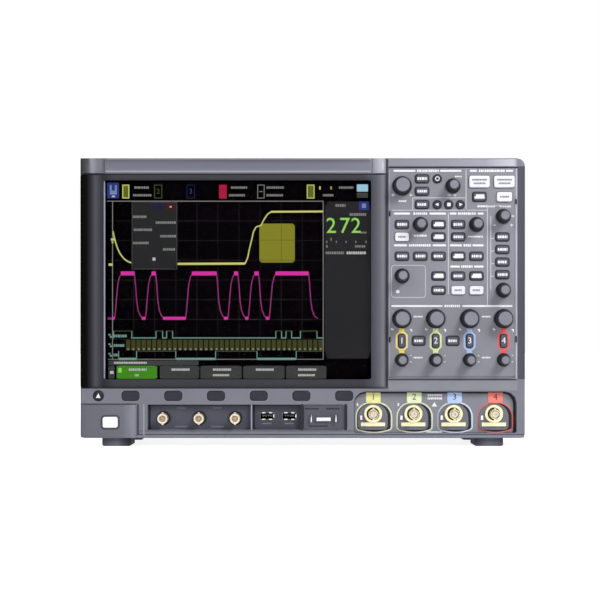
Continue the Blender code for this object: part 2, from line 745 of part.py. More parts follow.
def make_control_panel():
    """The faceplate: its field fills the bezel's opening and its flange seats behind it."""
    gap = SEAT_GAP
    panel = slab(
        "control_panel",
        PANEL_LEFT + gap,
        PANEL_RIGHT - gap,
        PANEL_LOW + gap,
        PANEL_HIGH - gap,
        PANEL_FRONT,
        PANEL_BACK - PANEL_FLANGE / 2,
        CORNER_SMALL,
    )
    flange = slab(
        "flange",
        PANEL_LEFT - PANEL_LAP,
        PANEL_RIGHT + PANEL_LAP,
        PANEL_LOW - PANEL_LAP,
        PANEL_HIGH + PANEL_LAP,
        FLANGE_FRONT,
        PANEL_BACK,
    )
    bosses = []
    for column, row in boss_places():
        x = panel_x(column)
        z = panel_z(row)
        bosses.append(drum("boss", x, z, BOSS_RADIUS, PANEL_BACK - gap, KEYPAD_BOARD_FRONT - gap, 8))
    fuse(panel, flange, gather("bosses", bosses))
    before = PANEL_FRONT - KEY_PROUD
    after = PANEL_BACK + KEY_PROUD
    holes = []
    for keys in key_plan().values():
        for column, row, size in keys:
            holes.append(key_hole(panel_x(column), panel_z(row), size, before, after))
    for column, row, _ in knob_plan().values():
        holes.append(drum("hole", panel_x(column), panel_z(row), BUSH_RADIUS, before, after, 8))
    cut(panel, gather("holes", holes))
    finish(panel, SHELL_GREY, 0.55)


def window():
    """The display opening as x0, x1, z0, z1."""
    x0 = LEFT + WINDOW_LEFT_MARGIN
    z0 = STRIP_HIGH + WINDOW_LIFT
    return x0, x0 + WINDOW_WIDTH, z0, z0 + WINDOW_HEIGHT


def input_places():
    """Centres of the four channel inputs, left to right."""
    last = RIGHT - INPUT_LAST_INSET
    return [(last - (3 - i) * INPUT_PITCH, BODY_LOW + INPUT_LIFT) for i in range(4)]


def aux_places():
    """Centres of the two generator outputs and the trigger input."""
    return [(LEFT + AUX_FIRST_INSET + i * AUX_PITCH, BODY_LOW + AUX_LIFT) for i in range(3)]


def aux_bay():
    """X range of the bay round the small connectors."""
    places = aux_places()
    return places[0][0] - AUX_BAY_LEFT, places[-1][0] + AUX_BAY_RIGHT


def usb_bay():
    """X range of the bay round the memory-stick sockets."""
    start = aux_bay()[1] + BAY_RIB
    return start, start + USB_BAY_WIDTH


def demo_bay():
    """X range of the tile with the two test terminals."""
    start = usb_bay()[1] + DEMO_BAY_GAP
    return start, start + DEMO_BAY_WIDTH


def input_bay():
    """X range of the bay round the four channel inputs."""
    places = input_places()
    return places[0][0] - INPUT_BAY_LEFT, places[-1][0] + INPUT_BAY_RIGHT


def usb_places():
    """Centres of the two memory-stick sockets."""
    centre = sum(usb_bay()) / 2 + USB_SHIFT
    return [(centre + side * USB_PITCH / 2, BODY_LOW + USB_LIFT) for side in (-1, 1)]


def demo_places():
    """Centres of the two test terminals."""
    centre = sum(demo_bay()) / 2
    return [(centre + side * DEMO_PITCH / 2, BODY_LOW + AUX_LIFT) for side in (-1, 1)]


def ground_place():
    """Centre of the level ground bar between the test terminals."""
    return sum(demo_bay()) / 2, BODY_LOW + GROUND_BAR_LIFT


def body_outline(inset, y):
    """The bezel's outline, drawn in by inset."""
    corners = (CORNER_BOTTOM, CORNER_BOTTOM, CORNER_TOP_RIGHT, CORNER_SMALL)
    low = BODY_LOW + inset
    return rounded_ring(LEFT + inset, RIGHT - inset, low, BODY_HIGH - inset, y, corners)


def make_front_bezel():
    """The front moulding: shell, display window, panel opening, connector bays and key holes."""
    outer = [
        body_outline(EDGE_CHAMFER, FRONT),
        body_outline(0.0, FRONT + EDGE_CHAMFER),
        body_outline(0.0, BEZEL_BACK),
    ]
    bezel = loft("front_bezel", outer)
    beyond = BEZEL_BACK + BEZEL_WALL
    left = LEFT + BEZEL_WALL
    right = RIGHT - BEZEL_WALL
    low = BODY_LOW + BEZEL_WALL
    wall_back = FRONT + BEZEL_WALL
    cavity = slab("cavity", left, right, low, BODY_HIGH - BEZEL_WALL, wall_back, beyond, CORNER_SMALL)
    bay_block = slab(
        "bay_block",
        aux_bay()[0] - BEZEL_WALL,
        input_bay()[1] + BEZEL_WALL,
        low - BEZEL_WALL,
        STRIP_LOW + BEZEL_WALL,
        FRONT,
        LOWER_WALL_BACK,
    )
    input_block = slab(
        "input_block",
        input_bay()[0] - BEZEL_WALL,
        input_bay()[1] + BEZEL_WALL,
        low - BEZEL_WALL,
        BODY_LOW + INPUT_BAY_HIGH + BEZEL_WALL,
        FRONT,
        LOWER_WALL_BACK,
    )
    cut(cavity, bay_block, input_block)
    cut(bezel, cavity)
    before = FRONT - BEZEL_WALL
    x0, x1, z0, z1 = window()
    slope = WINDOW_SLOPE
    window_rings = [
        rounded_ring(x0 - 2 * slope, x1 + 2 * slope, z0 - 2 * slope, z1 + 2 * slope, FRONT - slope, 0.0),
        rounded_ring(x0, x1, z0, z1, FRONT + slope, 0.0),
        rounded_ring(x0, x1, z0, z1, wall_back + slope, 0.0),
    ]
    display_opening = loft("display_opening", window_rings)
    panel_span = (PANEL_LEFT, PANEL_RIGHT, PANEL_LOW, PANEL_HIGH)
    panel_opening = slab("panel_opening", *panel_span, before, wall_back + slope, CORNER_SMALL)
    bay_low = BODY_LOW + BAY_LOW
    bay_high = STRIP_LOW - BAY_RIB
    bays = [slab("bay", *span, bay_low, bay_high, before, POCKET_PLANE) for span in (aux_bay(), usb_bay())]
    bays.append(slab("bay", *demo_bay(), bay_low, bay_high, before, FRONT + DEMO_BAY_DEPTH))
    corner = INPUT_BAY_CORNER
    input_low = BODY_LOW + INPUT_BAY_LOW
    input_high = BODY_LOW + INPUT_BAY_HIGH
    corners = (CORNER_SMALL, CORNER_SMALL, corner, corner)
    bays.append(slab("bay", *input_bay(), input_low, input_high, before, POCKET_PLANE, corners))
    cut(bezel, display_opening, panel_opening, gather("bays", bays))
    after = LOWER_WALL_BACK + BEZEL_WALL
    stem = BNC_STEM + SEAT_GAP
    holes = [drum("hole", x, z, stem, before, after) for x, z in input_places() + aux_places()]
    socket = (USB_SOCKET[0] + 2 * KEY_CLEARANCE, USB_SOCKET[1] + 2 * KEY_CLEARANCE)
    holes += [plate_at("hole", x, z, socket, before, after) for x, z in usb_places()]
    slot = (DEMO_WIRE + 2 * SEAT_GAP, DEMO_LOOP + 2 * SEAT_GAP)
    holes += [plate_at("hole", x, z, slot, before, after) for x, z in demo_places()]
    ground_slot = (GROUND_BAR[0] + 2 * SEAT_GAP, GROUND_BAR[1] + 2 * SEAT_GAP)
    holes.append(plate_at("hole", *ground_place(), ground_slot, before, after))
    deep = wall_back + slope
    holes += [key_hole(x, z, size, before, after, SOFTKEY_CORNER) for x, z, size in softkey_places()]
    holes += [key_hole(x, z, size, before, deep) for x, z, size in back_key_places() + power_key_places()]
    cut(bezel, gather("holes", holes))
    finish(bezel, SHELL_GREY, 0.55)


def make_display():
    """The cover glass behind the window and the panel module behind the glass."""
    x0, x1, z0, z1 = window()
    lap = GLASS_LAP
    front = FRONT + BEZEL_WALL + SEAT_GAP
    back = front + GLASS_THICKNESS
    glass = slab("display_glass", x0 - lap, x1 + lap, z0 - lap, z1 + lap, front, back)
    finish(glass, BLACK, 0.12)
    lap = LCD_LAP
    front = back + SEAT_GAP
    back = front + LCD_THICKNESS
    module = slab("lcd_module", x0 - lap, x1 + lap, z0 - lap, z1 + lap, front, back)
    lip = LCD_LIP - lap
    inner = slab("inner", x0 + lip, x1 - lip, z0 + lip, z1 - lip, back - LCD_LIP / 2, back + LCD_LIP)
    cut(module, inner)
    finish(module, STEEL, 0.4, 0.8)


def bnc_socket(name, x, z, seat, stages):
    """A bayonet socket on its stem. Stages are the flange's (radius, height) steps from the seat."""
    tip = POCKET_PLANE - BNC_PROUD
    floor = seat - BNC_WEB
    profile = [
        (0, floor),
        (BNC_PIN_HOLE, floor),
        (BNC_PIN_HOLE, tip + BNC_LUG),
        (BNC_CORE, tip + BNC_LUG),
        (BNC_CORE, floor),
        (BNC_BORE, floor),
        (BNC_BORE, tip),
        (BNC_RADIUS, tip),
    ]
    for radius, height in stages:
        profile += [(profile[-1][0], seat - height), (radius, seat - height)]
    if profile[-1][0] > BNC_STEM:
        profile += [(profile[-1][0], seat), (BNC_STEM, seat)]
    rear = LOWER_WALL_BACK + BNC_REAR
    profile += [(BNC_STEM, rear), (0, rear)]
    socket = turned(name, profile, BNC_SIDES, x, z)
    lug_y = tip + BNC_LUG_SETBACK
    reach = BNC_RADIUS + BNC_LUG
    root = BNC_RADIUS - (BNC_RADIUS - BNC_BORE) / 2
    size = (2 * BNC_LUG, reach - root)
    lift = (reach + root) / 2
    lugs = [
        plate_at("lug", x, z + side * lift, size, lug_y - BNC_LUG, lug_y + BNC_LUG)
        for side in (-1, 1)
    ]
    return fuse(socket, gather("lugs", lugs))


def make_inputs():
    """Channel inputs: a bayonet socket in a probe ring, with a contact bar on the same base plate."""
    seat = POCKET_PLANE - SEAT_GAP
    plate_front = seat - INPUT_PLATE_THICKNESS
    for index, (x, z) in enumerate(input_places()):
        ring_inner = INPUT_RING - INPUT_RING_WALL
        socket = bnc_socket(f"input_bnc_{index + 1}", x, z, seat, [(BNC_STEM, INPUT_PLATE_THICKNESS / 2)])
        half = INPUT_PLATE[0] / 2
        plate_low = z - INPUT_PLATE_DROP - INPUT_PLATE[1] / 2
        plate_high = plate_low + INPUT_PLATE[1]
        corners = (CORNER_BOTTOM, CORNER_BOTTOM, CORNER_TOP_RIGHT, CORNER_TOP_RIGHT)
        plate = slab("plate", x - half, x + half, plate_low, plate_high, plate_front, seat, corners)
        ring_front = seat - INPUT_RING_HEIGHT
        ring_root = seat - INPUT_PLATE_THICKNESS / 3
        ring = drum("ring", x, z, INPUT_RING, ring_front, ring_root, BNC_SIDES)
        cut(ring, drum("bore", x, z, ring_inner, ring_front - MM, ring_root + MM, BNC_SIDES))
        bar_front = plate_front - CONTACT_BAR_HEIGHT
        bar_root = plate_front + INPUT_PLATE_THICKNESS / 4
        bar = plate_at("bar", x, z - CONTACT_BAR_DROP, CONTACT_BAR, bar_front, bar_root)
        fuse(plate, ring, bar)
        fuse(socket, plate)
        finish(socket, GOLD, 0.3, 1.0, smooth=True)


def make_aux_sockets():
    """The two generator outputs and the external trigger input."""
    seat = POCKET_PLANE - SEAT_GAP
    for name, (x, z) in zip(("gen_out_1", "gen_out_2", "ext_trigger"), aux_places()):
        socket = bnc_socket(name, x, z, seat, [(AUX_FLANGE, AUX_FLANGE_HEIGHT)])
        finish(socket, IVORY, 0.35, 0.6, smooth=True)


def make_front_io_board():
    """The small board behind the lower wall, with socket shells, test terminals and a ground bar."""
    front = LOWER_WALL_BACK + IO_BOARD_DROP
    back = front + BOARD_THICKNESS
    inside = front + BOARD_THICKNESS / 2
    low = BODY_LOW + BAY_LOW + IO_BOARD_MARGIN
    high = STRIP_LOW - IO_BOARD_MARGIN
    board = slab("front_io_board", usb_bay()[0], demo_bay()[1], low, high, front, back)
    pieces = []
    for x, z in usb_places():
        face = POCKET_PLANE - USB_PROUD
        shell = plate_at("shell", x, z, USB_SOCKET, face, inside)
        inner = (USB_SOCKET[0] - 2 * USB_WALL, USB_SOCKET[1] - 2 * USB_WALL)
        cut(shell, plate_at("mouth", x, z, inner, face - MM, front - MM))
        tongue = (inner[0] - 2 * USB_WALL, USB_TONGUE)
        tongue_z = z + inner[1] / 2 - USB_TONGUE
        fuse(shell, plate_at("tongue", x, tongue_z, tongue, face + USB_WALL, front - MM / 2))
        pieces.append(shell)
    for x, z in demo_places():
        face = FRONT - DEMO_PROUD
        loop = plate_at("loop", x, z, (DEMO_WIRE, DEMO_LOOP), face, inside)
        eye = (2 * DEMO_WIRE, DEMO_LOOP - 2 * DEMO_WIRE)
        cut(loop, plate_at("eye", x, z, eye, face + DEMO_WIRE, front - DEMO_WIRE))
        pieces.append(loop)
    face = FRONT - DEMO_PROUD / 2
    bar = plate_at("bar", *ground_place(), GROUND_BAR, face, inside)
    eye = (GROUND_BAR[0] - 2 * DEMO_WIRE, 2 * GROUND_BAR[1])
    cut(bar, plate_at("eye", *ground_place(), eye, face + DEMO_WIRE, front - DEMO_WIRE))
    pieces.append(bar)
    fuse(board, gather("pieces", pieces))
    finish(board, STEEL, 0.35, 0.8)


def make_feet():
    """Front feet, each with two ears that carry a flip-out tilt tab."""
    pad_front = FRONT + FOOT_SETBACK
    pad_back = pad_front + FOOT_LENGTH
    top = BODY_LOW - SEAT_GAP
    hinge_y = pad_back + EAR_LENGTH / 2
    hinge_z = BODY_LOW / 2
    for side, word in ((-1, "left"), (1, "right")):
        x = side * FOOT_SPREAD
        x0 = x - FOOT_WIDTH / 2
        x1 = x + FOOT_WIDTH / 2
        corners = (FOOT_CHAMFER, FOOT_CHAMFER, 0.0, 0.0)
        foot = slab(f"front_foot_{word}", x0, x1, 0.0, top, pad_front, pad_back, corners, 2)
        ears = []
        for start in (x0, x1 - EAR_WIDTH):
            ears.append(slab("ear", start, start + EAR_WIDTH, MM, top, pad_back - MM, pad_back + EAR_LENGTH))
        fuse(foot, gather("ears", ears))
        hole_radius = TAB_PIN_RADIUS + SEAT_GAP
        cut(foot, cross_pin("holes", x0 - MM, x1 + MM, hinge_y, hinge_z, hole_radius))
        finish(foot, RUBBER_BLACK, 0.8)
        make_tilt_tab(word, x0 + EAR_WIDTH, x1 - EAR_WIDTH, hinge_y, hinge_z)


def make_tilt_tab(word, ear0, ear1, hinge_y, hinge_z):
    """A flat tab with a barrel and two stub pins, folded back under the housing."""
    x0 = ear0 + TAB_SIDE_GAP
    x1 = ear1 - TAB_SIDE_GAP
    half = TAB_THICKNESS / 2
    tab = slab(f"tilt_tab_{word}", x0, x1, hinge_z - half, hinge_z + half, hinge_y, hinge_y + TAB_LENGTH)
    barrel = cross_pin("barrel", x0, x1, hinge_y, hinge_z, half * TAB_BARREL_SWELL)
    reach = TAB_PIN_REACH
    pins = cross_pin("pins", x0 - reach, x1 + reach, hinge_y, hinge_z, TAB_PIN_RADIUS, 10)
    fuse(tab, barrel, pins)
    place_on_axis(tab, ((x0 + x1) / 2, hinge_y, hinge_z))
    finish(tab, RUBBER_BLACK, 0.6)


def cover_ring(insets, y, extra=0.0, corner=COVER_CORNER):
    """One section of the rear cover, drawn in from the bezel's outline."""
    sides, top, bottom = (value + extra for value in insets)
    return rounded_ring(LEFT + sides, RIGHT - sides, BODY_LOW + bottom, BODY_HIGH - top, y, corner - extra)


def handle_pivot():
    """Centre of the carry handle's hinge line."""
    y = COVER_BACK - COVER_FACE_CHAMFER - HANDLE_PIVOT_BACK
    top = BODY_HIGH - COVER_WAIST_INSETS[1] - MM
    slope = (y - COVER_START - COVER_WAIST_LENGTH) / (COVER_BACK - COVER_FACE_CHAMFER - COVER_START
                                                      - COVER_WAIST_LENGTH)
    drop = (COVER_BACK_INSETS[1] - COVER_WAIST_INSETS[1]) * max(0.0, slope)
    return 0.0, y, top - drop - HANDLE_THICKNESS / 2


def make_carry_handle():
    """A flat bail with a grip bar, lying in its tub, turned about two stub pins."""
    _, pivot_y, pivot_z = handle_pivot()
    half = HANDLE_THICKNESS / 2
    outer = HANDLE_SPAN / 2
    front = pivot_y - HANDLE_REACH
    bar_back = front + HANDLE_BAR
    low = pivot_z - half
    bar = slab("carry_handle", -outer, outer, low, pivot_z + half, front, bar_back, HANDLE_CORNER, 2)
    arms = []
    for side in (-1, 1):
        x = side * (outer - HANDLE_ARM / 2)
        size = (HANDLE_ARM, HANDLE_THICKNESS)
        arms.append(plate_at("arm", x, pivot_z, size, bar_back - half, pivot_y, HANDLE_CORNER, 2))
    fuse(bar, gather("arms", arms))
    for side in (-1, 1):
        inner = side * (outer - HANDLE_ARM)
        fuse(bar, cross_pin("eye", inner, side * outer, pivot_y, pivot_z, half * HANDLE_EYE_SWELL))
        tip = side * (outer + HANDLE_PIN_LENGTH)
        fuse(bar, cross_pin("pin", inner + side * MM, tip, pivot_y, pivot_z, HANDLE_PIN_RADIUS, 10))
    place_on_axis(bar, (0.0, pivot_y, pivot_z))
    finish(bar, RUBBER_BLACK, 0.55, smooth=True)


def fan_centre():
    """X and Z of the fan's axle."""
    return LEFT + FAN_CENTRE_INSET, BODY_LOW + FAN_CENTRE_LIFT


def inlet_centre():
    """X and Z of the mains inlet."""
    x = RIGHT - SUPPLY_RIGHT_INSET - SUPPLY_SIZE[0] / 2
    return x, BODY_LOW + SUPPLY_LIFT + INLET_OUTER[1]


def rear_bay():
    """The rear cover's connector opening as x0, x1, z0, z1."""
    probe_x, probe_size = REAR_SOCKETS["probe"]
    x0 = probe_x - probe_size[0] / 2 - REAR_BAY_MARGIN
    x1 = REAR_ROUNDS[-1] + BNC_RADIUS + REAR_BAY_MARGIN
    return x0, x1, MAIN_BOARD_HIGH - MM, MAIN_BOARD_HIGH + REAR_BAY_RISE


def make_rear_cover():
    """The tapered rear moulding with its vents, handle tub, connector openings, feet and bumpers."""
    waist = COVER_START + COVER_WAIST_LENGTH
    shoulder = COVER_BACK - COVER_FACE_CHAMFER
    sections = (
        (COVER_FRONT_INSETS, COVER_START),
        (COVER_WAIST_INSETS, waist),
        (COVER_BACK_INSETS, shoulder),
        (COVER_FACE_INSETS, COVER_BACK),
    )
    cover = loft("rear_cover", [cover_ring(insets, y) for insets, y in sections])
    hollow = [cover_ring(insets, y, COVER_WALL) for insets, y in sections[:3]]
    hollow[0] = cover_ring(COVER_FRONT_INSETS, COVER_START - MM, COVER_WALL)
    hollow.append(cover_ring(COVER_FACE_INSETS, COVER_BACK - COVER_WALL, COVER_WALL))
    cavity = loft("cavity", hollow)
    _, pivot_y, pivot_z = handle_pivot()
    tub_half = HANDLE_SPAN / 2 + HANDLE_SIDE_GAP
    tub_floor = pivot_z + HANDLE_THICKNESS / 2 - HANDLE_TUB_DEPTH
    tub_front = pivot_y - HANDLE_REACH - HANDLE_FINGER_ROOM
    tub_back = pivot_y + HANDLE_THICKNESS / 2 + 2 * MM
    wall = HANDLE_TUB_WALL
    tub_side = tub_half + wall
    tub_low = tub_floor - COVER_WALL
    tub = slab("tub", -tub_side, tub_side, tub_low, BODY_HIGH, tub_front - wall, tub_back + wall)
    cut(cavity, tub)
    cut(cover, cavity)
    cut(cover, slab("well", -tub_half, tub_half, tub_floor, BODY_HIGH + MM, tub_front, tub_back))
    pin_reach = tub_half + HANDLE_PIN_LENGTH
    pin_hole = HANDLE_PIN_RADIUS + SEAT_GAP
    cut(cover, cross_pin("pin_holes", -pin_reach, pin_reach, pivot_y, pivot_z, pin_hole))
    fuse(cover, *cover_feet(shoulder))
    vents = side_vents(waist) + grille_slots()
    cut(cover, gather("vents", vents))
    x0, x1, z0, z1 = rear_bay()
    bay = slab("bay", x0, x1, z0, z1, shoulder - COVER_WALL, COVER_BACK + MM, CORNER_SMALL)
    inlet_x, inlet_z = inlet_centre()
    mouth_size = (INLET_OUTER[0] + 2 * KEY_CLEARANCE, INLET_OUTER[1] + 2 * KEY_CLEARANCE)
    mouth = plate_at("mouth", inlet_x, inlet_z, mouth_size, shoulder - COVER_WALL, COVER_BACK + MM)
    cut(cover, bay, mouth)
    finish(cover, SHELL_GREY, 0.6)


def cover_feet(shoulder):
    """Rear feet and the four bumpers that the instrument can stand on."""
    pieces = []
    sole = BODY_LOW + COVER_WAIST_INSETS[2] + COVER_WALL
    back = shoulder - REAR_FOOT_SETBACK
    for side in (-1, 1):
        x = side * FOOT_SPREAD
        pieces.append(
            slab("foot", x - FOOT_WIDTH / 2, x + FOOT_WIDTH / 2, 0.0, sole, back - REAR_FOOT_LENGTH, back)
        )
        for z in (BUMPER_LOW, BUMPER_HIGH):
            size = (BUMPER_SIZE, BUMPER_SIZE)
            root = COVER_BACK - COVER_WALL / 2
            bumper_x = side * BUMPER_SPREAD
            bumper = plate_at("bumper", bumper_x, z, size, root, DEPTH / 2, CORNER_SMALL, 1)
            pieces.append(bumper)
    return pieces


def side_vents(waist):
    """Upright slots through both sides."""
    slots = []
    z0 = BODY_LOW + SIDE_VENT_LIFT
    first = waist - (SIDE_VENTS - 1) * SIDE_VENT_PITCH / 2
    deep = COVER_BACK_INSETS[0] + 2 * COVER_WALL
    for side in (LEFT, RIGHT):
        x0 = min(side, side - math.copysign(deep, side))
        for i in range(SIDE_VENTS):
            y = first + i * SIDE_VENT_PITCH
            y1 = y + SIDE_VENT_WIDTH
            slots.append(slab("vent", x0, x0 + deep, z0, z0 + SIDE_VENT_HEIGHT, y, y1))
    return slots


def grille_slots():
    """Level slots in front of the fan, as long as its bore at each height."""
    x, z = fan_centre()
    slots = []
    for i in range(GRILLE_SLOTS):
        offset = (i - (GRILLE_SLOTS - 1) / 2) * GRILLE_PITCH
        reach = FAN_BORE_RADIUS - abs(offset) * GRILLE_TAPER
        half = math.sqrt(reach**2 - offset**2)
        size = (2 * half, GRILLE_SLOT_HEIGHT)
        slots.append(plate_at("slot", x, z + offset, size, COVER_BACK - 3 * COVER_WALL, COVER_BACK + MM))
    return slots


def make_chassis():
    """The sheet-metal frame: front plate inside the bezel, floor with standoffs, and rear plate."""
    edge = BEZEL_WALL + SEAT_GAP
    front = CHASSIS_FRONT
    top = BODY_HIGH - edge
    outline = (LEFT + edge, RIGHT - edge, BODY_LOW + edge, top)
    plate = slab("chassis", *outline, front, front + SHEET, CORNER_BOTTOM)
    half = CHASSIS_HALF_WIDTH
    inside = front + SHEET / 2
    outside = CHASSIS_REAR + SHEET / 2
    floor = slab("floor", -half, half, CHASSIS_FLOOR, CHASSIS_FLOOR + SHEET, inside, outside)
    rear_top = BODY_HIGH - CHASSIS_TOP_MARGIN
    rear = slab("rear", -half, half, CHASSIS_FLOOR, rear_top, CHASSIS_REAR, CHASSIS_REAR + SHEET)
    fuse(plate, floor, rear)
    pass_low = MAIN_BOARD_LOW - MM
    pass_high = MAIN_BOARD_HIGH + SHIELD_CAN_HEIGHT + 2 * MM
    board_left = -MAIN_BOARD_LEFT - 2 * MM
    board_right = MAIN_BOARD_RIGHT + 2 * MM
    board_pass = slab("pass", board_left, board_right, pass_low, pass_high, front - MM, front + SHEET + MM)
    behind = CHASSIS_REAR + SHEET + MM
    before = CHASSIS_REAR - MM
    clear = 2 * KEY_CLEARANCE
    holes = []
    for x, (width, height) in REAR_SOCKETS.values():
        z = MAIN_BOARD_HIGH + height / 2
        holes.append(plate_at("hole", x, z, (width + clear, height + 2 * BOARD_THICKNESS), before, behind))
    for x in REAR_ROUNDS:
        z = MAIN_BOARD_HIGH + REAR_ROUND_LIFT
        holes.append(drum("hole", x, z, BNC_RADIUS + clear, before, behind))
    inlet_x, inlet_z = inlet_centre()
    inlet_size = (INLET_OUTER[0] + clear, INLET_OUTER[1] + clear)
    holes.append(plate_at("hole", inlet_x, inlet_z, inlet_size, before, behind))
    fan_x, fan_z = fan_centre()
    holes.append(drum("hole", fan_x, fan_z, FAN_BORE_RADIUS, before, behind, ROUND_SIDES))
    cut(plate, board_pass, gather("holes", holes))
    studs = []
    for x in (STUD_INSET - MAIN_BOARD_LEFT, 0.0, CHASSIS_HALF_WIDTH - STUD_INSET):
        for y in (front + STUD_FRONT_DROP, CHASSIS_REAR - STUD_REAR_DROP):
            studs.append(stud(x, y, CHASSIS_FLOOR + SHEET / 2, MAIN_BOARD_LOW - SEAT_GAP))
    fuse(plate, gather("studs", studs))
    finish(plate, STEEL, 0.35, 1.0)


def stud(x, y, z0, z1):
    """An upright round standoff."""
    radius = STANDOFF_RADIUS
    angles = [2 * math.pi * i / 8 for i in range(8)]
    foot = [(x + radius * math.cos(a), y + radius * math.sin(a)) for a in angles]
    return loft("stud", [[(px, py, z) for px, py in foot] for z in (z0, z1)])


def make_main_board():
    """The level board with the input shield, the heat sink and the rear connectors."""
    front = FRONT + MAIN_BOARD_FRONT_DROP
    back = CHASSIS_REAR - SEAT_GAP
    outline = (-MAIN_BOARD_LEFT, MAIN_BOARD_RIGHT, MAIN_BOARD_LOW, MAIN_BOARD_HIGH)
    board = slab("main_board", *outline, front, back)
    inside = MAIN_BOARD_HIGH - BOARD_THICKNESS / 2
    sockets = []
    for x, (width, height) in REAR_SOCKETS.values():
        top = MAIN_BOARD_HIGH + height
        sockets.append(
            slab("socket", x - width / 2, x + width / 2, inside, top, SOCKET_FACE - SOCKET_DEPTH, SOCKET_FACE)
        )
    width, depth, height = REAR_ROUND_BODY
    for x in REAR_ROUNDS:
        z = MAIN_BOARD_HIGH + REAR_ROUND_LIFT
        face = SOCKET_FACE + REAR_ROUND_PROUD
        sleeve = drum("round", x, z, BNC_RADIUS, back - depth / 2, face, SMALL_SIDES)
        half = width / 2
        body = slab("body", x - half, x + half, inside, inside + height, back - depth, back)
        sockets.append(fuse(body, sleeve))
    can_front = LOWER_WALL_BACK + BNC_REAR + 2 * MM
    can_left = input_places()[0][0] - INPUT_PLATE[0] / 2
    can = slab(
        "can",
        can_left,
        MAIN_BOARD_RIGHT - MM,
        inside,
        MAIN_BOARD_HIGH + SHIELD_CAN_HEIGHT,
        can_front,
        can_front + SHIELD_CAN_DEPTH,
    )
    sink_width, sink_depth, sink_height = SINK_SIZE
    sink_back = SINK_FRONT + sink_depth
    sink_top = MAIN_BOARD_HIGH + sink_height
    sink = slab("sink", SINK_LEFT, SINK_LEFT + sink_width, inside, sink_top, SINK_FRONT, sink_back)
    fins = []
    fin_root = MAIN_BOARD_HIGH + sink_height / 2
    for i in range(FIN_COUNT):
        x = SINK_LEFT + i * FIN_PITCH + FIN_THICKNESS / 2
        fin_top = MAIN_BOARD_HIGH + FIN_HEIGHT
        fins.append(
            slab("fin", x, x + FIN_THICKNESS, fin_root, fin_top, SINK_FRONT + MM, sink_back - MM)
        )
    fuse(sink, gather("fins", fins))
    fuse(board, can, sink, gather("sockets", sockets))
    network_x, (width, height) = REAR_SOCKETS["network"]
    mouth = (width - NETWORK_WALLS[0], height - NETWORK_WALLS[1])
    z = MAIN_BOARD_HIGH + height / 2
    floor = SOCKET_FACE - NETWORK_MOUTH_DEPTH
    cut(board, plate_at("jack", network_x, z, mouth, floor, SOCKET_FACE + MM))
    finish(board, BOARD_GREEN, 0.5)


def make_power_supply():
    """The cased supply behind the control panel, with the mains inlet on its rear face."""
    width, depth, height = SUPPLY_SIZE
    x1 = RIGHT - SUPPLY_RIGHT_INSET
    back = CHASSIS_REAR - SEAT_GAP
    z0 = BODY_LOW + SUPPLY_LIFT
    supply = slab("power_supply", x1 - width, x1, z0, z0 + height, back - depth, back, CORNER_SMALL, 1)
    x, z = inlet_centre()
    face = COVER_BACK + INLET_PROUD
    inlet = plate_at("inlet", x, z, INLET_OUTER, back - 2 * MM, face)
    fuse(supply, inlet)
    floor = face - INLET_DEPTH
    half_width = INLET_CAVITY[0] / 2
    half_height = INLET_CAVITY[1] / 2
    corners = (0.0, 0.0, INLET_CORNER, INLET_CORNER)
    mouth = (x - half_width, x + half_width, z - half_height, z + half_height)
    cavity = slab("cavity", *mouth, floor, face + MM, corners, 1)
    cut(supply, cavity)
    pins = []
    tip = face - INLET_PIN_SETBACK
    for side in (-1, 0, 1):
        pin_z = z - abs(side) * INLET_PIN_DROP
        pins.append(plate_at("pin", x + side * INLET_PIN_PITCH, pin_z, INLET_PIN, floor - MM, tip))
    fuse(supply, gather("pins", pins))
    finish(supply, STEEL, 0.4, 0.9)


def make_fan():
    """Square fan frame with a motor mount on three struts, and the bladed rotor on its pin."""
    x, z = fan_centre()
    back = CHASSIS_REAR - SEAT_GAP
    front = back - FAN_THICKNESS
    frame = plate_at("fan_frame", x, z, (FAN_SIZE, FAN_SIZE), front, back, CORNER_BOTTOM, 1)
    cut(frame, drum("bore", x, z, FAN_BORE_RADIUS, front - MM, back + MM, 24))
    mount_front = back - FAN_MOUNT_THICKNESS
    mount = drum("mount", x, z, FAN_HUB_RADIUS + MM, mount_front, back - MM, ROUND_SIDES)
    struts = []
    for i in range(3):
        half = FAN_STRUT_WIDTH / 2
        tip = FAN_BORE_RADIUS + MM
        strut = slab("strut", -half, half, FAN_HUB_RADIUS, tip, mount_front, back - MM)
        strut.data.transform(Matrix.Rotation(2 * math.pi * i / 3, 4, "Y"))
        strut.data.transform(Matrix.Translation((x, 0.0, z)))
        struts.append(strut)
    rotor_back = mount_front - SEAT_GAP
    rotor_front = front + FAN_ROTOR_DROP
    crown = rotor_front + 3 * MM
    fuse(mount, drum("pin", x, z, FAN_PIN_RADIUS, crown + SEAT_GAP, back - 2 * MM, 10))
    fuse(frame, mount, gather("struts", struts))
    finish(frame, BLACK, 0.5)
    bore = FAN_PIN_RADIUS + SHAFT_CLEARANCE
    profile = [
        (0, rotor_front),
        (FAN_HUB_RADIUS - MM, rotor_front),
        (FAN_HUB_RADIUS, rotor_front + MM),
        (FAN_HUB_RADIUS, rotor_back),
        (bore, rotor_back),
        (bore, crown),
        (0, crown),
    ]
    rotor = turned("fan_rotor", profile, ROUND_SIDES, x, z)
    fuse(rotor, *[fan_blade(i, x, z, (rotor_front + rotor_back) / 2) for i in range(FAN_BLADES)])
    place_on_axis(rotor, (x, rotor_back, z))
    finish(rotor, BLACK, 0.45, smooth=True)


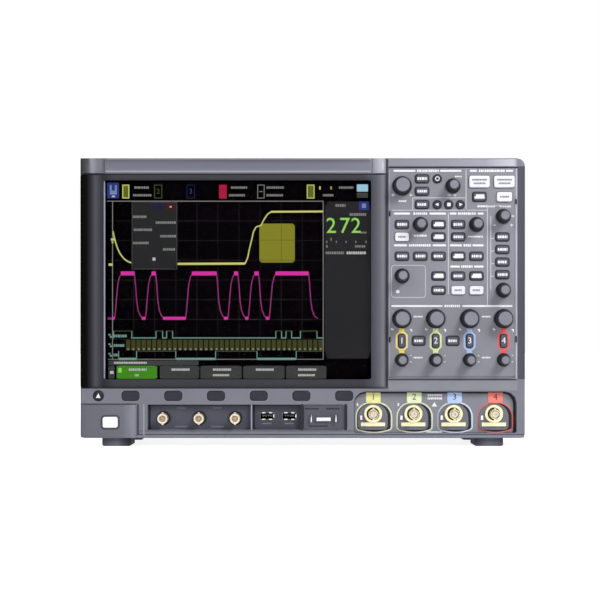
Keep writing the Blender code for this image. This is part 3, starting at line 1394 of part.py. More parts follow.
def fan_blade(index, x, z, y):
    """One blade, twisted from root to tip."""
    rings = []
    for i in range(4):
        share = i / 3
        radius = FAN_HUB_RADIUS - MM + share * (FAN_TIP_RADIUS - FAN_HUB_RADIUS + MM)
        pitch = FAN_BLADE_PITCH - share * FAN_BLADE_TWIST
        chord = FAN_BLADE_WIDTH * (0.5 + FAN_BLADE_FLARE * share)
        half = FAN_BLADE_THICKNESS / 2
        ring = []
        for along, across in ((-chord, -half), (chord, -half), (chord, half), (-chord, half)):
            u = along * math.cos(pitch) - across * math.sin(pitch)
            v = along * math.sin(pitch) + across * math.cos(pitch)
            ring.append((u, v, radius))
        rings.append(ring)
    blade = loft("blade", rings)
    blade.data.transform(Matrix.Rotation(2 * math.pi * index / FAN_BLADES, 4, "Y"))
    blade.data.transform(Matrix.Translation((x, y, z)))
    return blade


def build():
    """Builds every piece, from the outside in."""
    clear_scene()
    make_front_bezel()
    make_rear_cover()
    make_display()
    make_control_panel()
    make_keypad_board()
    make_panel_keys()
    make_bezel_keys()
    make_knobs()
    make_inputs()
    make_aux_sockets()
    make_front_io_board()
    make_feet()
    make_carry_handle()
    make_chassis()
    make_main_board()
    make_power_supply()
    make_fan()


build()
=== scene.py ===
"""Looks of a bench mixed-signal oscilloscope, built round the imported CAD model.

Lengths in this file are millimetres unless a name says pixels; the modelling functions turn them to metres.
X runs to the right of the front panel, Y to the back and Z up, as in the CAD model.
"""

import sys
import logging
import math
from dataclasses import dataclass, field
from enum import Enum
from typing import Iterable, Sequence

import bmesh
import bpy
from mathutils import Matrix, Vector


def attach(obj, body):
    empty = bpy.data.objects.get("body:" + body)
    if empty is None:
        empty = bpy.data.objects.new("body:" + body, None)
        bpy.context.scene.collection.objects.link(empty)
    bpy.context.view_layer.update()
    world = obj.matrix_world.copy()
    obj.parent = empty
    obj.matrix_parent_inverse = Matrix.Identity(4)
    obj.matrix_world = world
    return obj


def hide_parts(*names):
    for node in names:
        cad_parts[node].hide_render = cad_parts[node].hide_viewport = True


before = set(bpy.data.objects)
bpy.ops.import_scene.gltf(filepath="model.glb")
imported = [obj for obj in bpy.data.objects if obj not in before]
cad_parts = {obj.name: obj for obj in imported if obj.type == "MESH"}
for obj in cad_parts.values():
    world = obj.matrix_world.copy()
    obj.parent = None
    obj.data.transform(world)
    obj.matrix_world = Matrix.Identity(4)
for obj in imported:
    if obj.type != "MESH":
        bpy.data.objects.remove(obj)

LOG = logging.getLogger("oscilloscope")
MM = 0.001
PIXEL = 0.955  # millimetres on the front plane that one photograph pixel covers
PIXEL_ZERO_X = 302.7  # photograph column of the object's middle
PIXEL_ZERO_Z = 446.5  # photograph row of the surface it stands on
FRONT = -63.0  # Y of the bezel's front plane
CAMERA_X = -2.6
CAMERA_Z = 96.9
CAMERA_RANGE = 1300.0  # from the camera to the front plane
PANEL_LEFT = 81.9  # X of the control panel's left edge
PANEL_TOP = 266.0  # Z of its upper edge
PANEL_FACE = -62.4  # Y of its face
POCKET = -57.0  # Y of the floor behind the sockets of the lower front
SOFTKEY_ROW = 48.45  # Z of the keys under the display
POWER_KEY = (-183.8, 23.1)  # X and Z of its middle
SPECULAR = "Specular IOR Level"
Rect = tuple[float, float, float, float]
Section = tuple[Rect, float]
Points = Sequence[tuple[float, float]]
Thing = bpy.types.Object
Tree = bpy.types.NodeTree
Socket = bpy.types.NodeSocket
Node = bpy.types.Node


# ---------------------------------------------------------------- places

def at(column: float, row: float, depth: float = FRONT) -> tuple[float, float]:
    """Finds the point of the plane Y = depth that shows at a photograph pixel.

    Args:
        column: Pixel column of the photograph.
        row: Pixel row of the photograph.
        depth: Y of the plane that carries the point.

    Returns:
        X and Z of the point.
    """
    reach = (depth - FRONT + CAMERA_RANGE) / CAMERA_RANGE
    x = (column - PIXEL_ZERO_X) * PIXEL
    z = (PIXEL_ZERO_Z - row) * PIXEL
    return CAMERA_X + (x - CAMERA_X) * reach, CAMERA_Z + (z - CAMERA_Z) * reach


def seen(left: float, top: float, right: float, bottom: float, depth: float = FRONT) -> Rect:
    """Turns a pixel box into a rectangle on the plane Y = depth.

    Args:
        left: First pixel column.
        top: First pixel row.
        right: Last pixel column.
        bottom: Last pixel row.
        depth: Y of the plane.

    Returns:
        The rectangle as low X, high X, low Z and high Z.
    """
    x0, z1 = at(left, top, depth)
    x1, z0 = at(right, bottom, depth)
    return x0, x1, z0, z1


def round_box(x: float, z: float, across: float, up: float = 0.0) -> Rect:
    """Gives the rectangle round a centre; a square where only one size is given."""
    up = up or across
    return x - across / 2, x + across / 2, z - up / 2, z + up / 2


def shrunk(box: Rect, by: float) -> Rect:
    """Gives the rectangle drawn in by a margin on all sides."""
    return box[0] + by, box[1] - by, box[2] + by, box[3] - by


# ---------------------------------------------------------------- modelling

def clear_selection() -> None:
    """Deselects every object."""
    for thing in list(bpy.context.selected_objects):
        thing.select_set(False)


def pick(thing: Thing) -> Thing:
    """Makes one object the whole selection and the active object."""
    clear_selection()
    thing.select_set(True)
    bpy.context.view_layer.objects.active = thing
    return thing


def move_selected(delta: Vector) -> None:
    """Moves what is selected in edit mode by a vector in metres."""
    if delta.length > 0.0:
        bpy.ops.transform.translate(value=delta)


def start_face(name: str, box: Rect, depth: float, sides: int = 0) -> Thing:
    """Adds a face that looks to the front, in edit mode with all of it selected.

    Args:
        name: Name of the new object.
        box: Rectangle that the face fills.
        depth: Y of the face.
        sides: Number of sides of a round face, or 0 for a rectangle.

    Returns:
        The new object.
    """
    clear_selection()
    x0, x1, z0, z1 = (v * MM for v in box)
    place = {"location": ((x0 + x1) / 2, depth * MM, (z0 + z1) / 2), "rotation": (math.pi / 2, 0, 0)}
    if sides:
        bpy.ops.mesh.primitive_circle_add(vertices=sides, radius=0.5, fill_type="NGON", **place)
    else:
        bpy.ops.mesh.primitive_plane_add(size=1, **place)
    thing = bpy.context.object
    thing.name = name
    thing.scale = (x1 - x0, z1 - z0, 1)
    bpy.ops.object.transform_apply(location=True, rotation=True, scale=True)
    bpy.ops.object.mode_set(mode="EDIT")
    bpy.ops.mesh.select_all(action="SELECT")
    return thing


def round_corners(thing: Thing, radius: float, steps: int, upper: bool | None = None) -> None:
    """Rounds or cuts corners of the face that is being edited.

    Args:
        thing: Object in edit mode, a single face.
        radius: Corner radius.
        steps: Segments of each corner; 1 gives a cut corner.
        upper: True for the two upper corners, False for the lower ones, None for all four.
    """
    if upper is not None:
        mesh = bmesh.from_edit_mesh(thing.data)
        middle = sum(v.co.z for v in mesh.verts) / len(mesh.verts)
        bpy.ops.mesh.select_all(action="DESELECT")
        bpy.ops.mesh.select_mode(type="VERT")
        for vert in mesh.verts:
            corner = len(vert.link_edges) == 2 and not is_curve_point(vert)
            vert.select_set(corner and (vert.co.z > middle) == upper)
        bmesh.update_edit_mesh(thing.data)
    bpy.ops.mesh.bevel(offset=radius * MM, segments=steps, affect="VERTICES")
    bpy.ops.mesh.select_all(action="SELECT")


def is_curve_point(vert: bmesh.types.BMVert) -> bool:
    """Says if a corner of a flat face is already part of a rounded corner."""
    first, second = (edge.other_vert(vert).co - vert.co for edge in vert.link_edges)
    return first.angle(second) > math.radians(100)


def stepped(box: Rect, *steps: tuple[float, float]) -> list[Section]:
    """Gives the sections of one rectangle that is drawn in on its way.

    Args:
        box: The rectangle.
        *steps: For each section, how far it is drawn in and its depth.

    Returns:
        Rectangle and depth of each section.
    """
    return [(shrunk(box, by), depth) for by, depth in steps]


def raise_by(thickness: float) -> None:
    """Extrudes what is selected towards the front."""
    bpy.ops.mesh.extrude_region_move(TRANSFORM_OT_translate={"value": (0, -thickness * MM, 0)})


def raise_to(before: Section, after: Section) -> None:
    """Extrudes the selected face and fits it to the next section.

    Args:
        before: Rectangle and depth of the face now.
        after: Rectangle and depth that it is to have.
    """
    (a0, a1, a2, a3), a_depth = before
    (b0, b1, b2, b3), b_depth = after
    middle = Vector(((a0 + a1) / 2, a_depth, (a2 + a3) / 2)) * MM
    goal = Vector(((b0 + b1) / 2, b_depth, (b2 + b3) / 2)) * MM
    bpy.ops.mesh.extrude_region_move()
    ratio = ((b1 - b0) / (a1 - a0), 1, (b3 - b2) / (a3 - a2))
    if ratio != (1, 1, 1):
        bpy.ops.transform.resize(value=ratio, center_override=middle)
    move_selected(goal - middle)


def close_edit(thing: Thing) -> Thing:
    """Turns all faces outwards and leaves edit mode."""
    bpy.ops.mesh.select_all(action="SELECT")
    bpy.ops.mesh.normals_make_consistent(inside=False)
    bpy.ops.object.mode_set(mode="OBJECT")
    return thing


def grow(
    name: str,
    sections: Sequence[Section],
    corner: float = 0.0,
    steps: int = 3,
    sides: int = 0,
    flute: float = 0.0,
    open_front: bool = False,
) -> Thing:
    """Builds a piece by extruding one face through a row of sections.

    Args:
        name: Name of the piece.
        sections: Rectangle and depth of each section, from the back to the front.
        corner: Corner radius of a rectangular face.
        steps: Segments of each corner.
        sides: Number of sides of a round face, or 0 for a rectangle.
        flute: Share by which every third point of a round face is drawn in, for a fluted grip.
        open_front: Leaves out the first and the last face, so that the piece is a frame.

    Returns:
        The finished object, with all its faces outwards.
    """
    thing = start_face(name, sections[0][0], sections[0][1], sides)
    if corner and not sides:
        round_corners(thing, corner, steps)
    if flute:
        draw_in(thing, flute)
    for before, after in zip(sections, sections[1:]):
        raise_to(before, after)
    if open_front:
        bpy.ops.mesh.delete(type="FACE")
        drop_back(thing, sections[0][1])
    return close_edit(thing)


def prism(
    name: str, box: Rect, back: float, front: float, corner: float = 0.0, steps: int = 3, sides: int = 0
) -> Thing:
    """Builds a straight block between two depths; the other arguments are those of grow()."""
    return grow(name, [(box, back), (box, front)], corner, steps, sides)


def drop_back(thing: Thing, depth: float) -> None:
    """Deletes the face that a frame was grown from, which lies flat at Y = depth."""
    bpy.ops.mesh.select_mode(type="FACE")
    mesh = bmesh.from_edit_mesh(thing.data)
    for face in mesh.faces:
        face.select_set(all(abs(v.co.y - depth * MM) < 1e-7 for v in face.verts))
    bmesh.update_edit_mesh(thing.data)
    bpy.ops.mesh.delete(type="FACE")


def draw_in(thing: Thing, share: float) -> None:
    """Draws in every third point of the round face that is being edited."""
    mesh = bmesh.from_edit_mesh(thing.data)
    points = list(mesh.verts)
    middle = sum((v.co for v in points), Vector()) / len(points)
    points.sort(key=lambda v: math.atan2(v.co.z - middle.z, v.co.x - middle.x))
    bpy.ops.mesh.select_all(action="DESELECT")
    bpy.ops.mesh.select_mode(type="VERT")
    for vert in points[::3]:
        vert.select_set(True)
    bmesh.update_edit_mesh(thing.data)
    bpy.ops.transform.resize(value=(1 - share, 1, 1 - share), center_override=middle)
    bpy.ops.mesh.select_all(action="SELECT")
    bpy.ops.mesh.select_mode(type="FACE")


def outline(
    name: str,
    box: Rect,
    depth: float,
    line: float,
    thickness: float,
    upper: float,
    lower: float,
    steps: int = 6,
) -> Thing:
    """Builds a closed line of constant width that stands on the plane Y = depth.

    Args:
        name: Name of the piece.
        box: Outer rectangle of the line.
        depth: Y of the carrying plane.
        line: Width of the line.
        thickness: How far the line stands proud.
        upper: Radius of the two upper corners.
        lower: Radius of the two lower corners.
        steps: Segments of each corner; 1 gives cut corners.

    Returns:
        The finished object.
    """
    thing = start_face(name, box, depth)
    round_corners(thing, upper, steps, upper=True)
    if lower:
        round_corners(thing, lower, steps, upper=False)
    bpy.ops.mesh.select_mode(type="FACE")
    bpy.ops.mesh.select_all(action="SELECT")
    bpy.ops.mesh.inset(thickness=line * MM, depth=0)
    bpy.ops.mesh.delete(type="FACE")
    bpy.ops.mesh.select_all(action="SELECT")
    raise_by(thickness)
    return close_edit(thing)


def twin(thing: Thing, name: str, shift: Sequence[float], scale: Sequence[float] = (1, 1, 1)) -> Thing:
    """Copies a piece with its own mesh to another place.

    Args:
        thing: Piece to copy.
        name: Name of the copy.
        shift: Move along X, Y and Z.
        scale: Size factors along X, Y and Z, taken about the origin before the move.

    Returns:
        The copy.
    """
    copy = thing.copy()
    copy.data = thing.data.copy()
    copy.name = name
    copy.data.transform(Matrix.Translation(Vector(shift) * MM) @ Matrix.Diagonal((*scale, 1)))
    bpy.context.collection.objects.link(copy)
    return copy


def join(name: str, pieces: Sequence[Thing]) -> Thing:
    """Joins pieces into one object.

    Args:
        name: Name of the joined object.
        pieces: Pieces to join, at least one.

    Returns:
        The joined object.
    """
    clear_selection()
    for piece in pieces:
        piece.select_set(True)
    bpy.context.view_layer.objects.active = pieces[0]
    if len(pieces) > 1:
        bpy.ops.object.join()
    pieces[0].name = name
    return pieces[0]


def tiles(name: str, boxes: Iterable[Rect], depth: float, thickness: float, cut: float = 0.18) -> Thing:
    """Builds many small flat tiles, such as printed marks, as one piece.

    Args:
        name: Name of the piece.
        boxes: Rectangle of each tile.
        depth: Y of the plane that the tiles stand on.
        thickness: How far they stand proud.
        cut: Share of a tile's short side that its cut corners take.

    Returns:
        The joined object.
    """
    unit = prism("unit_tile", (-0.5, 0.5, -0.5, 0.5), 0, -1, corner=cut, steps=1)
    copies = []
    for x0, x1, z0, z1 in boxes:
        shift = ((x0 + x1) / 2, depth, (z0 + z1) / 2)
        copies.append(twin(unit, f"{name}_tile", shift, (x1 - x0, thickness, z1 - z0)))
    bpy.data.objects.remove(unit)
    return join(name, copies)


def curve_to_mesh(curve: bpy.types.Curve, points: Sequence[Sequence[float]], closed: bool = False) -> Thing:
    """Gives a curve one straight-lined path and turns it to a mesh.

    Args:
        curve: The curve, with its thickness set.
        points: Points of the path, in metres.
        closed: Joins the last point to the first.

    Returns:
        The mesh, selected and active.
    """
    spline = curve.splines.new("POLY")
    spline.points.add(len(points) - 1)
    spline.use_cyclic_u = closed
    for point, place in zip(spline.points, points):
        point.co = (*place, 1)
    thing = bpy.data.objects.new(curve.name, curve)
    bpy.context.collection.objects.link(thing)
    pick(thing)
    bpy.ops.object.convert(target="MESH")
    return bpy.context.object


def stand_up(thing: Thing, place: Sequence[float]) -> Thing:
    """Turns a flat mesh to look to the front, at a place in metres."""
    thing.location = place
    thing.rotation_euler = (math.pi / 2, 0, 0)
    bpy.ops.object.transform_apply(location=True, rotation=True, scale=True)
    return thing


def stroke(name: str, points: Points, depth: float, width: float, thickness: float) -> Thing:
    """Builds a flat line through points on the plane Y = depth.

    Args:
        name: Name of the piece.
        points: X and Z of each point.
        depth: Y of the line's middle.
        width: Width of the line.
        thickness: Thickness of the line along Y.

    Returns:
        The line as a mesh.
    """
    curve = bpy.data.curves.new(name, "CURVE")
    curve.dimensions = "3D"
    curve.bevel_depth = width / 2 * MM
    curve.bevel_resolution = 1
    curve.use_fill_caps = True
    thing = curve_to_mesh(curve, [(x * MM, 0, z * MM) for x, z in points])
    flat = Matrix.Diagonal((1, thickness / width, 1, 1))
    thing.data.transform(Matrix.Translation((0, depth * MM, 0)) @ flat)
    return thing


def figure(text: str, x: float, z: float, height: float, depth: float, thickness: float = 0.06) -> Thing:
    """Sets a plain figure on the plane Y = depth, centred on a point.

    Args:
        text: The figure.
        x: X of its middle.
        z: Z of its middle.
        height: Height of the figure.
        depth: Y of the carrying plane.
        thickness: How far it stands proud.

    Returns:
        The figure as a mesh.
    """
    clear_selection()
    bpy.ops.object.text_add(location=(0, 0, 0))
    thing = bpy.context.object
    thing.name = f"figure_{text}"
    thing.data.body = text
    thing.data.align_x = "CENTER"
    thing.data.align_y = "CENTER"
    thing.data.size = height * 1.38 * MM
    thing.data.extrude = thickness / 2 * MM
    thing.data.resolution_u = 2
    bpy.ops.object.convert(target="MESH")
    return stand_up(thing, (x * MM, (depth - thickness / 2) * MM, z * MM))


def soften(thing: Thing, width: float, segments: int = 2, sharp: float = 40.0) -> Thing:
    """Rounds the sharp edges of a new piece and shades it smooth.

    Args:
        thing: Piece to finish.
        width: Width of the rounding.
        segments: Segments of the rounding.
        sharp: Angle in degrees from which an edge is rounded.

    Returns:
        The same piece.
    """
    pick(thing)
    add_rim(thing, width, segments, sharp)
    bpy.ops.object.modifier_apply(modifier="rim")
    return smooth(thing)


def add_rim(thing: Thing, width: float, segments: int, sharp: float) -> None:
    """Adds the live modifier that rounds a piece's sharp edges."""
    bevel = thing.modifiers.new("rim", "BEVEL")
    bevel.width = width * MM
    bevel.segments = segments
    bevel.limit_method = "ANGLE"
    bevel.angle_limit = math.radians(sharp)
    bevel.use_clamp_overlap = True


def smooth(thing: Thing, angle: float = 38.0) -> Thing:
    """Shades a piece smooth up to an angle in degrees."""
    pick(thing)
    bpy.ops.object.shade_smooth_by_angle(angle=math.radians(angle))
    return thing


def legend(x: float, z: float, width: float, height: float, seed: int = 0) -> list[Rect]:
    """Lays out small blocks that stand for a line of print.

    Args:
        x: X of the line's middle.
        z: Z of the line's middle.
        width: Width of the line.
        height: Height of the line.
        seed: Number that varies the rhythm of the blocks.

    Returns:
        One rectangle for each block.
    """
    rhythm = (0.62, 0.5, 0.7, 0.42, 0.58, 0.66, 0.36, 0.6)
    gap = height * 0.2
    boxes, place, turn = [], x - width / 2, seed
    while place < x + width / 2 - height * 0.3:
        step = min(rhythm[turn % len(rhythm)] * height * 1.15, x + width / 2 - place)
        boxes.append((place, place + step, z - height / 2, z + height / 2))
        place += step + gap
        turn += 1
    return boxes


def print_row(
    left: float, right: float, row: float, height: float, seed: int = 0, depth: float = FRONT
) -> list[Rect]:
    """Lays out the blocks of a line of print that shows between two pixel columns.

    Args:
        left: First pixel column.
        right: Last pixel column.
        row: Pixel row of the line's middle.
        height: Height of the line in pixels.
        seed: Number that varies the rhythm of the blocks.
        depth: Y of the plane.

    Returns:
        One rectangle for each block.
    """
    x0, x1, z0, z1 = seen(left, row - height / 2, right, row + height / 2, depth)
    return legend((x0 + x1) / 2, (z0 + z1) / 2, x1 - x0, z1 - z0, seed)


# ---------------------------------------------------------------- finishes

class Slot(Enum):
    """Material slots of the record that new pieces take their finish from."""

    BEZEL = "bezel_plastic"
    COVER = "cover_plastic"
    FACEPLATE = "faceplate_plastic"
    KNOB = "knob_plastic"
    KEY = "key_rubber"
    LIT_KEY = "lit_key_plastic"
    STEEL = "sheet_steel"
    BOARD = "circuit_board"
    GOLD = "gold_plated_brass"
    NICKEL = "nickel_plated_brass"


def linear(code: str, alpha: float = 1.0) -> tuple[float, float, float, float]:
    """Turns an sRGB hex colour such as "#8A8A94" to a linear one."""
    values = [int(code[i : i + 2], 16) / 255 for i in (1, 3, 5)]
    red, green, blue = (v / 12.92 if v <= 0.04045 else ((v + 0.055) / 1.055) ** 2.4 for v in values)
    return red, green, blue, alpha


def node(tree: Tree, kind: str, links: dict | None = None, **settings: object) -> Node:
    """Adds a node with its settings, constants and links.

    Args:
        tree: Node tree to add to.
        kind: Blender's type name of the node.
        links: For each input, by name or number, an output socket to link or a constant.
        **settings: Properties of the node itself.

    Returns:
        The new node.
    """
    made = tree.nodes.new(kind)
    for key, value in settings.items():
        setattr(made, key, value)
    for key, value in (links or {}).items():
        if isinstance(value, Socket):
            tree.links.new(value, made.inputs[key])
        else:
            made.inputs[key].default_value = value
    return made


def ramp(tree: Tree, factor: Socket, stops: Sequence[tuple[float, str]]) -> Socket:
    """Adds a colour ramp and returns its colour; each stop is a place and a hex colour."""
    made = node(tree, "ShaderNodeValToRGB", {0: factor})
    elements = made.color_ramp.elements
    for element, (place, code) in zip(elements, (stops[0], stops[-1])):
        element.position, element.color = place, linear(code)
    for place, code in stops[1:-1]:
        elements.new(place).color = linear(code)
    return made.outputs[0]


def per_metre(size: float) -> float:
    """Gives the texture scale whose features are about this many millimetres apart."""
    return 1000.0 / size


def shade(code: str, factor: float) -> str:
    """Makes a hex colour lighter or darker by a factor on its sRGB values."""
    values = (min(255, max(0, round(int(code[i : i + 2], 16) * factor))) for i in (1, 3, 5))
    return "#" + "".join(f"{v:02X}" for v in values)


@dataclass(frozen=True)
class Finish:
    """A surface finish: a Principled surface with grain, tone and bump at real sizes.

    Fields hold the colour, how much the tone varies and over what size, the
    roughness range, the grain size and depth, and the constants of the shader.
    """

    name: str
    colour: str
    tone: float = 0.05
    tone_size: float = 30.0
    rough: tuple[float, float] = (0.45, 0.6)
    grain: float = 0.8
    depth: float = 0.03
    metallic: float = 0.0
    constants: tuple[tuple[str, float], ...] = ()

    def made(self) -> bpy.types.Material:
        """Returns the finish's material, built on the first call."""
        return bpy.data.materials.get(self.name) or self.build()

    def build(self) -> bpy.types.Material:
        """Builds the material.

        Returns:
            The new material.
        """
        material = bpy.data.materials.new(self.name)
        material.use_nodes = True
        tree = material.node_tree
        surface = tree.nodes["Principled BSDF"]
        place = node(tree, "ShaderNodeTexCoord").outputs["Object"]
        self.dress(tree, surface, place)
        surface.inputs["Metallic"].default_value = self.metallic
        for key, value in self.constants:
            surface.inputs[key].default_value = value
        return material

    def tint(self, tree: Tree, place: Socket) -> Socket:
        """Gives the colour socket: the finish's colour with its slow change of tone."""
        cloud = node(
            tree, "ShaderNodeTexNoise", {"Vector": place, "Scale": per_metre(self.tone_size), "Detail": 3.0}
        )
        stops = ((0.3, shade(self.colour, 1 - self.tone)), (0.7, shade(self.colour, 1 + self.tone)))
        return ramp(tree, cloud.outputs["Fac"], stops)

    def dress(self, tree: Tree, surface: Node, place: Socket) -> None:
        """Links tone, roughness and grain to the surface.

        Args:
            tree: The material's node tree.
            surface: The Principled surface.
            place: Object coordinates.
        """
        speck = node(
            tree, "ShaderNodeTexNoise", {"Vector": place, "Scale": per_metre(self.grain), "Detail": 2.0}
        )
        tree.links.new(self.tint(tree, place), surface.inputs["Base Color"])
        self.roughen(tree, surface, speck.outputs["Fac"])
        height = {"Height": speck.outputs["Fac"], "Strength": 0.35, "Distance": self.depth * MM}
        tree.links.new(node(tree, "ShaderNodeBump", height).outputs["Normal"], surface.inputs["Normal"])

    def roughen(self, tree: Tree, surface: Node, factor: Socket) -> None:
        """Varies the roughness over its range by a texture's factor."""
        low, high = self.rough
        rough = node(tree, "ShaderNodeMapRange", {"Value": factor, "To Min": low, "To Max": high})
        tree.links.new(rough.outputs["Result"], surface.inputs["Roughness"])


@dataclass(frozen=True)
class ShadedSweep(Finish):
    """A moulding with painted shade and highlight: its colour changes from place to place along one axis, standing
    for how light falls across its rounded width.
    """

    axis: int = 0
    stops: tuple[tuple[float, str], ...] = ((0.0, "#000000"), (1.0, "#FFFFFF"))

    def tint(self, tree: Tree, place: Socket) -> Socket:
        """Gives the painted shade and highlight by the place along the axis, in millimetres."""
        along = node(tree, "ShaderNodeSeparateXYZ", {0: place}).outputs[self.axis]
        first, last = self.stops[0][0], self.stops[-1][0]
        share = node(
            tree, "ShaderNodeMapRange", {"Value": along, "From Min": first * MM, "From Max": last * MM}
        )
        return ramp(
            tree, share.outputs["Result"],
            [((spot - first) / (last - first), code) for spot, code in self.stops]
        )


@dataclass(frozen=True)
class Lit(Finish):
    """A lit patch of the liquid-crystal display: black surface that gives its own light."""

    glow: float = 1.0

    def dress(self, tree: Tree, surface: Node, place: Socket) -> None:
        """Gives the patch its light, with the fine pixel grid of the panel."""
        grid = node(tree, "ShaderNodeTexWave", {"Vector": place, "Scale": per_metre(1.2), "Distortion": 0.0})
        stops = ((0.0, shade(self.colour, 1 - self.tone)), (1.0, self.colour))
        tree.links.new(ramp(tree, grid.outputs["Fac"], stops), surface.inputs["Emission Color"])
        surface.inputs["Emission Strength"].default_value = self.glow
        surface.inputs["Base Color"].default_value = linear("#050505")
        surface.inputs["Roughness"].default_value = 0.6
        surface.inputs[SPECULAR].default_value = 0.1


@dataclass(frozen=True)
class Glass(Finish):
    """Coated display glass: clear, with a faint haze that spreads its reflections."""

    def dress(self, tree: Tree, surface: Node, place: Socket) -> None:
        """Gives the glass its fine haze of smears."""
        smear = node(
            tree, "ShaderNodeTexNoise", {"Vector": place, "Scale": per_metre(self.tone_size), "Detail": 4.0}
        )
        self.roughen(tree, surface, smear.outputs["Fac"])
        surface.inputs["Base Color"].default_value = linear(self.colour)


@dataclass(frozen=True)
class Brushed(Finish):
    """Rolled or plated metal with fine straight lines from rolling."""

    stretch: tuple[float, float, float] = (1.0, 1.0, 12.0)

    def dress(self, tree: Tree, surface: Node, place: Socket) -> None:
        """Draws the grain out along one axis."""
        drawn = node(tree, "ShaderNodeMapping", {"Vector": place, "Scale": self.stretch}).outputs["Vector"]
        Finish.dress(self, tree, surface, drawn)


@dataclass(frozen=True)
class Laminate(Finish):
    """Glass-fibre board under green solder mask, with copper tracks and pads."""

    def dress(self, tree: Tree, surface: Node, place: Socket) -> None:
        """Draws tracks as rows of cells, with bright pads where cells meet."""
        Finish.dress(self, tree, surface, place)
        cells = node(
            tree, "ShaderNodeTexVoronoi", {"Vector": place, "Scale": per_metre(6.0)}, distance="CHEBYCHEV"
        )
        stops = ((0.0, "#C9B37A"), (0.08, "#2C7A4A"), (0.3, self.colour), (1.0, shade(self.colour, 0.8)))
        colour = ramp(tree, cells.outputs["Distance"], stops)
        tree.links.new(colour, surface.inputs["Base Color"])


SOFT_SHEEN = ((SPECULAR, 0.45),)
DULL = ((SPECULAR, 0.25),)
# ABS and polycarbonate mouldings: fine spark-eroded grain, drawn coarser than the real 0.1 mm so that it shows
BEZEL_GREY = Finish("moulded_abs_bezel", "#777884", 0.03, 60.0, (0.42, 0.58), 0.6, 0.03, constants=SOFT_SHEEN)
PANEL_GREY = Finish("moulded_abs_panel", "#85868F", 0.03, 40.0, (0.40, 0.55), 0.6, 0.02, constants=SOFT_SHEEN)
STRIP_GREY = Finish("moulded_abs_strip", "#838690", 0.03, 40.0, (0.35, 0.5), 0.6, 0.02, constants=SOFT_SHEEN)
# Header moulding: light grey; its colour along X paints dark shade at the left end and highlights on the crests of
# its two rounded end posts.
HEADER_GREY = ShadedSweep(
    "moulded_abs_header_painted_shading", "#7E7E8C", rough=(0.3, 0.42), grain=0.6, depth=0.015, constants=SOFT_SHEEN,
    stops=((-212.0, "#1A1A20"), (-207.0, "#24242C"), (-204.0, "#50505A"), (-201.2, "#8E8E9C"), (-196.4, "#747482"),
           (-190.7, "#545460"), (-185.0, "#7A7A86"), (62.0, "#7A7A86"), (66.0, "#8E8E9C"), (70.0, "#98989F"),
           (73.5, "#ACACB8"), (76.0, "#A8A8B4"), (77.8, "#9A9AA6"), (79.5, "#7E7E88")))
# Header inlay: its colour along Z paints a highlight along its lower edge and shade that deepens towards its
# rounded top.
HEADER_INLAY = ShadedSweep(
    "film_header_inlay_painted_shading", "#84848F", rough=(0.25, 0.38), grain=0.5, depth=0.01, constants=SOFT_SHEEN, axis=2,
    stops=((261.8, "#9A9CA6"), (262.4, "#A2A4AE"), (263.3, "#7A7C88"), (265.0, "#6E707E"), (269.8, "#6C6C79"),
           (271.5, "#62626E"), (272.8, "#585864"), (274.0, "#42424C")))
# Display surround: dark grey; its colour along X paints near-black shade at the left edge, a highlight on the left
# band and a lighter, highlighted right band.
SURROUND_DARK = ShadedSweep(
    "moulded_pc_surround_painted_shading", "#34343A", rough=(0.26, 0.38), grain=0.5, depth=0.01, constants=((SPECULAR, 0.04),),
    stops=((-212.3, "#020203"), (-206.0, "#030305"), (-202.0, "#2C2C32"), (-197.5, "#515157"), (-193.5, "#3E3E46"),
           (-190.0, "#2E2E36"), (-180.0, "#404046"), (58.0, "#404046"), (67.0, "#50505A"), (73.0, "#64646C"),
           (77.0, "#7C7C85"), (79.8, "#4A4A52")))
# Panel flank: dark grey, with painted shade that deepens along X towards its outer rounded edge.
SIDE_DARK = ShadedSweep(
    "moulded_abs_side_painted_shade", "#585864", rough=(0.42, 0.58), grain=0.6, depth=0.02, constants=DULL,
    stops=((205.2, "#52525E"), (209.0, "#4A4A56"), (211.4, "#42424E"), (212.3, "#30303A")))
COVER_GREY = Finish("moulded_abs_cover", "#63636F", 0.04, 70.0, (0.5, 0.68), 0.9, 0.05, constants=SOFT_SHEEN)
TRAY_GREY = Finish("moulded_abs_tray", "#84858F", 0.03, 30.0, (0.4, 0.55), 0.6, 0.02, constants=SOFT_SHEEN)
# Bay floor: darker grey that is painted shade of the recess.
BAY_DARK = Finish("moulded_abs_bay_painted_shade", "#50515E", 0.05, 30.0, (0.45, 0.6), 0.6, 0.03, constants=DULL)
# Strip above the panel: grey, with a painted highlight brightening towards its right end and darker again at the
# corner.
TOP_STRIP = ShadedSweep(
    "moulded_abs_top_strip_painted_highlight", "#8C8D9A", rough=(0.35, 0.5), grain=0.6, depth=0.02, constants=SOFT_SHEEN,
    stops=((82.0, "#858692"), (130.0, "#8E8F9C"), (175.0, "#9D9EAB"), (196.0, "#BDBECB"), (201.0, "#C2C3D0"),
           (205.0, "#8C8D9A")))
INPUT_PLATE = Finish(
    "moulded_pbt_input_plate", "#6E6F7B", 0.04, 12.0, (0.4, 0.55), 0.6, 0.02, constants=SOFT_SHEEN
)
# Power block: grey, with painted shade towards its left end and a painted highlight on its right slope.
BLOCK_GREY = ShadedSweep(
    "moulded_abs_power_block_painted_shading", "#686974", rough=(0.4, 0.55), grain=0.6, depth=0.02, constants=SOFT_SHEEN,
    stops=((-212.2, "#5A5B66"), (-205.0, "#64656F"), (-172.0, "#6A6B77"), (-165.5, "#7A7C88"), (-161.0, "#868894"),
           (-158.6, "#6A6C78")))
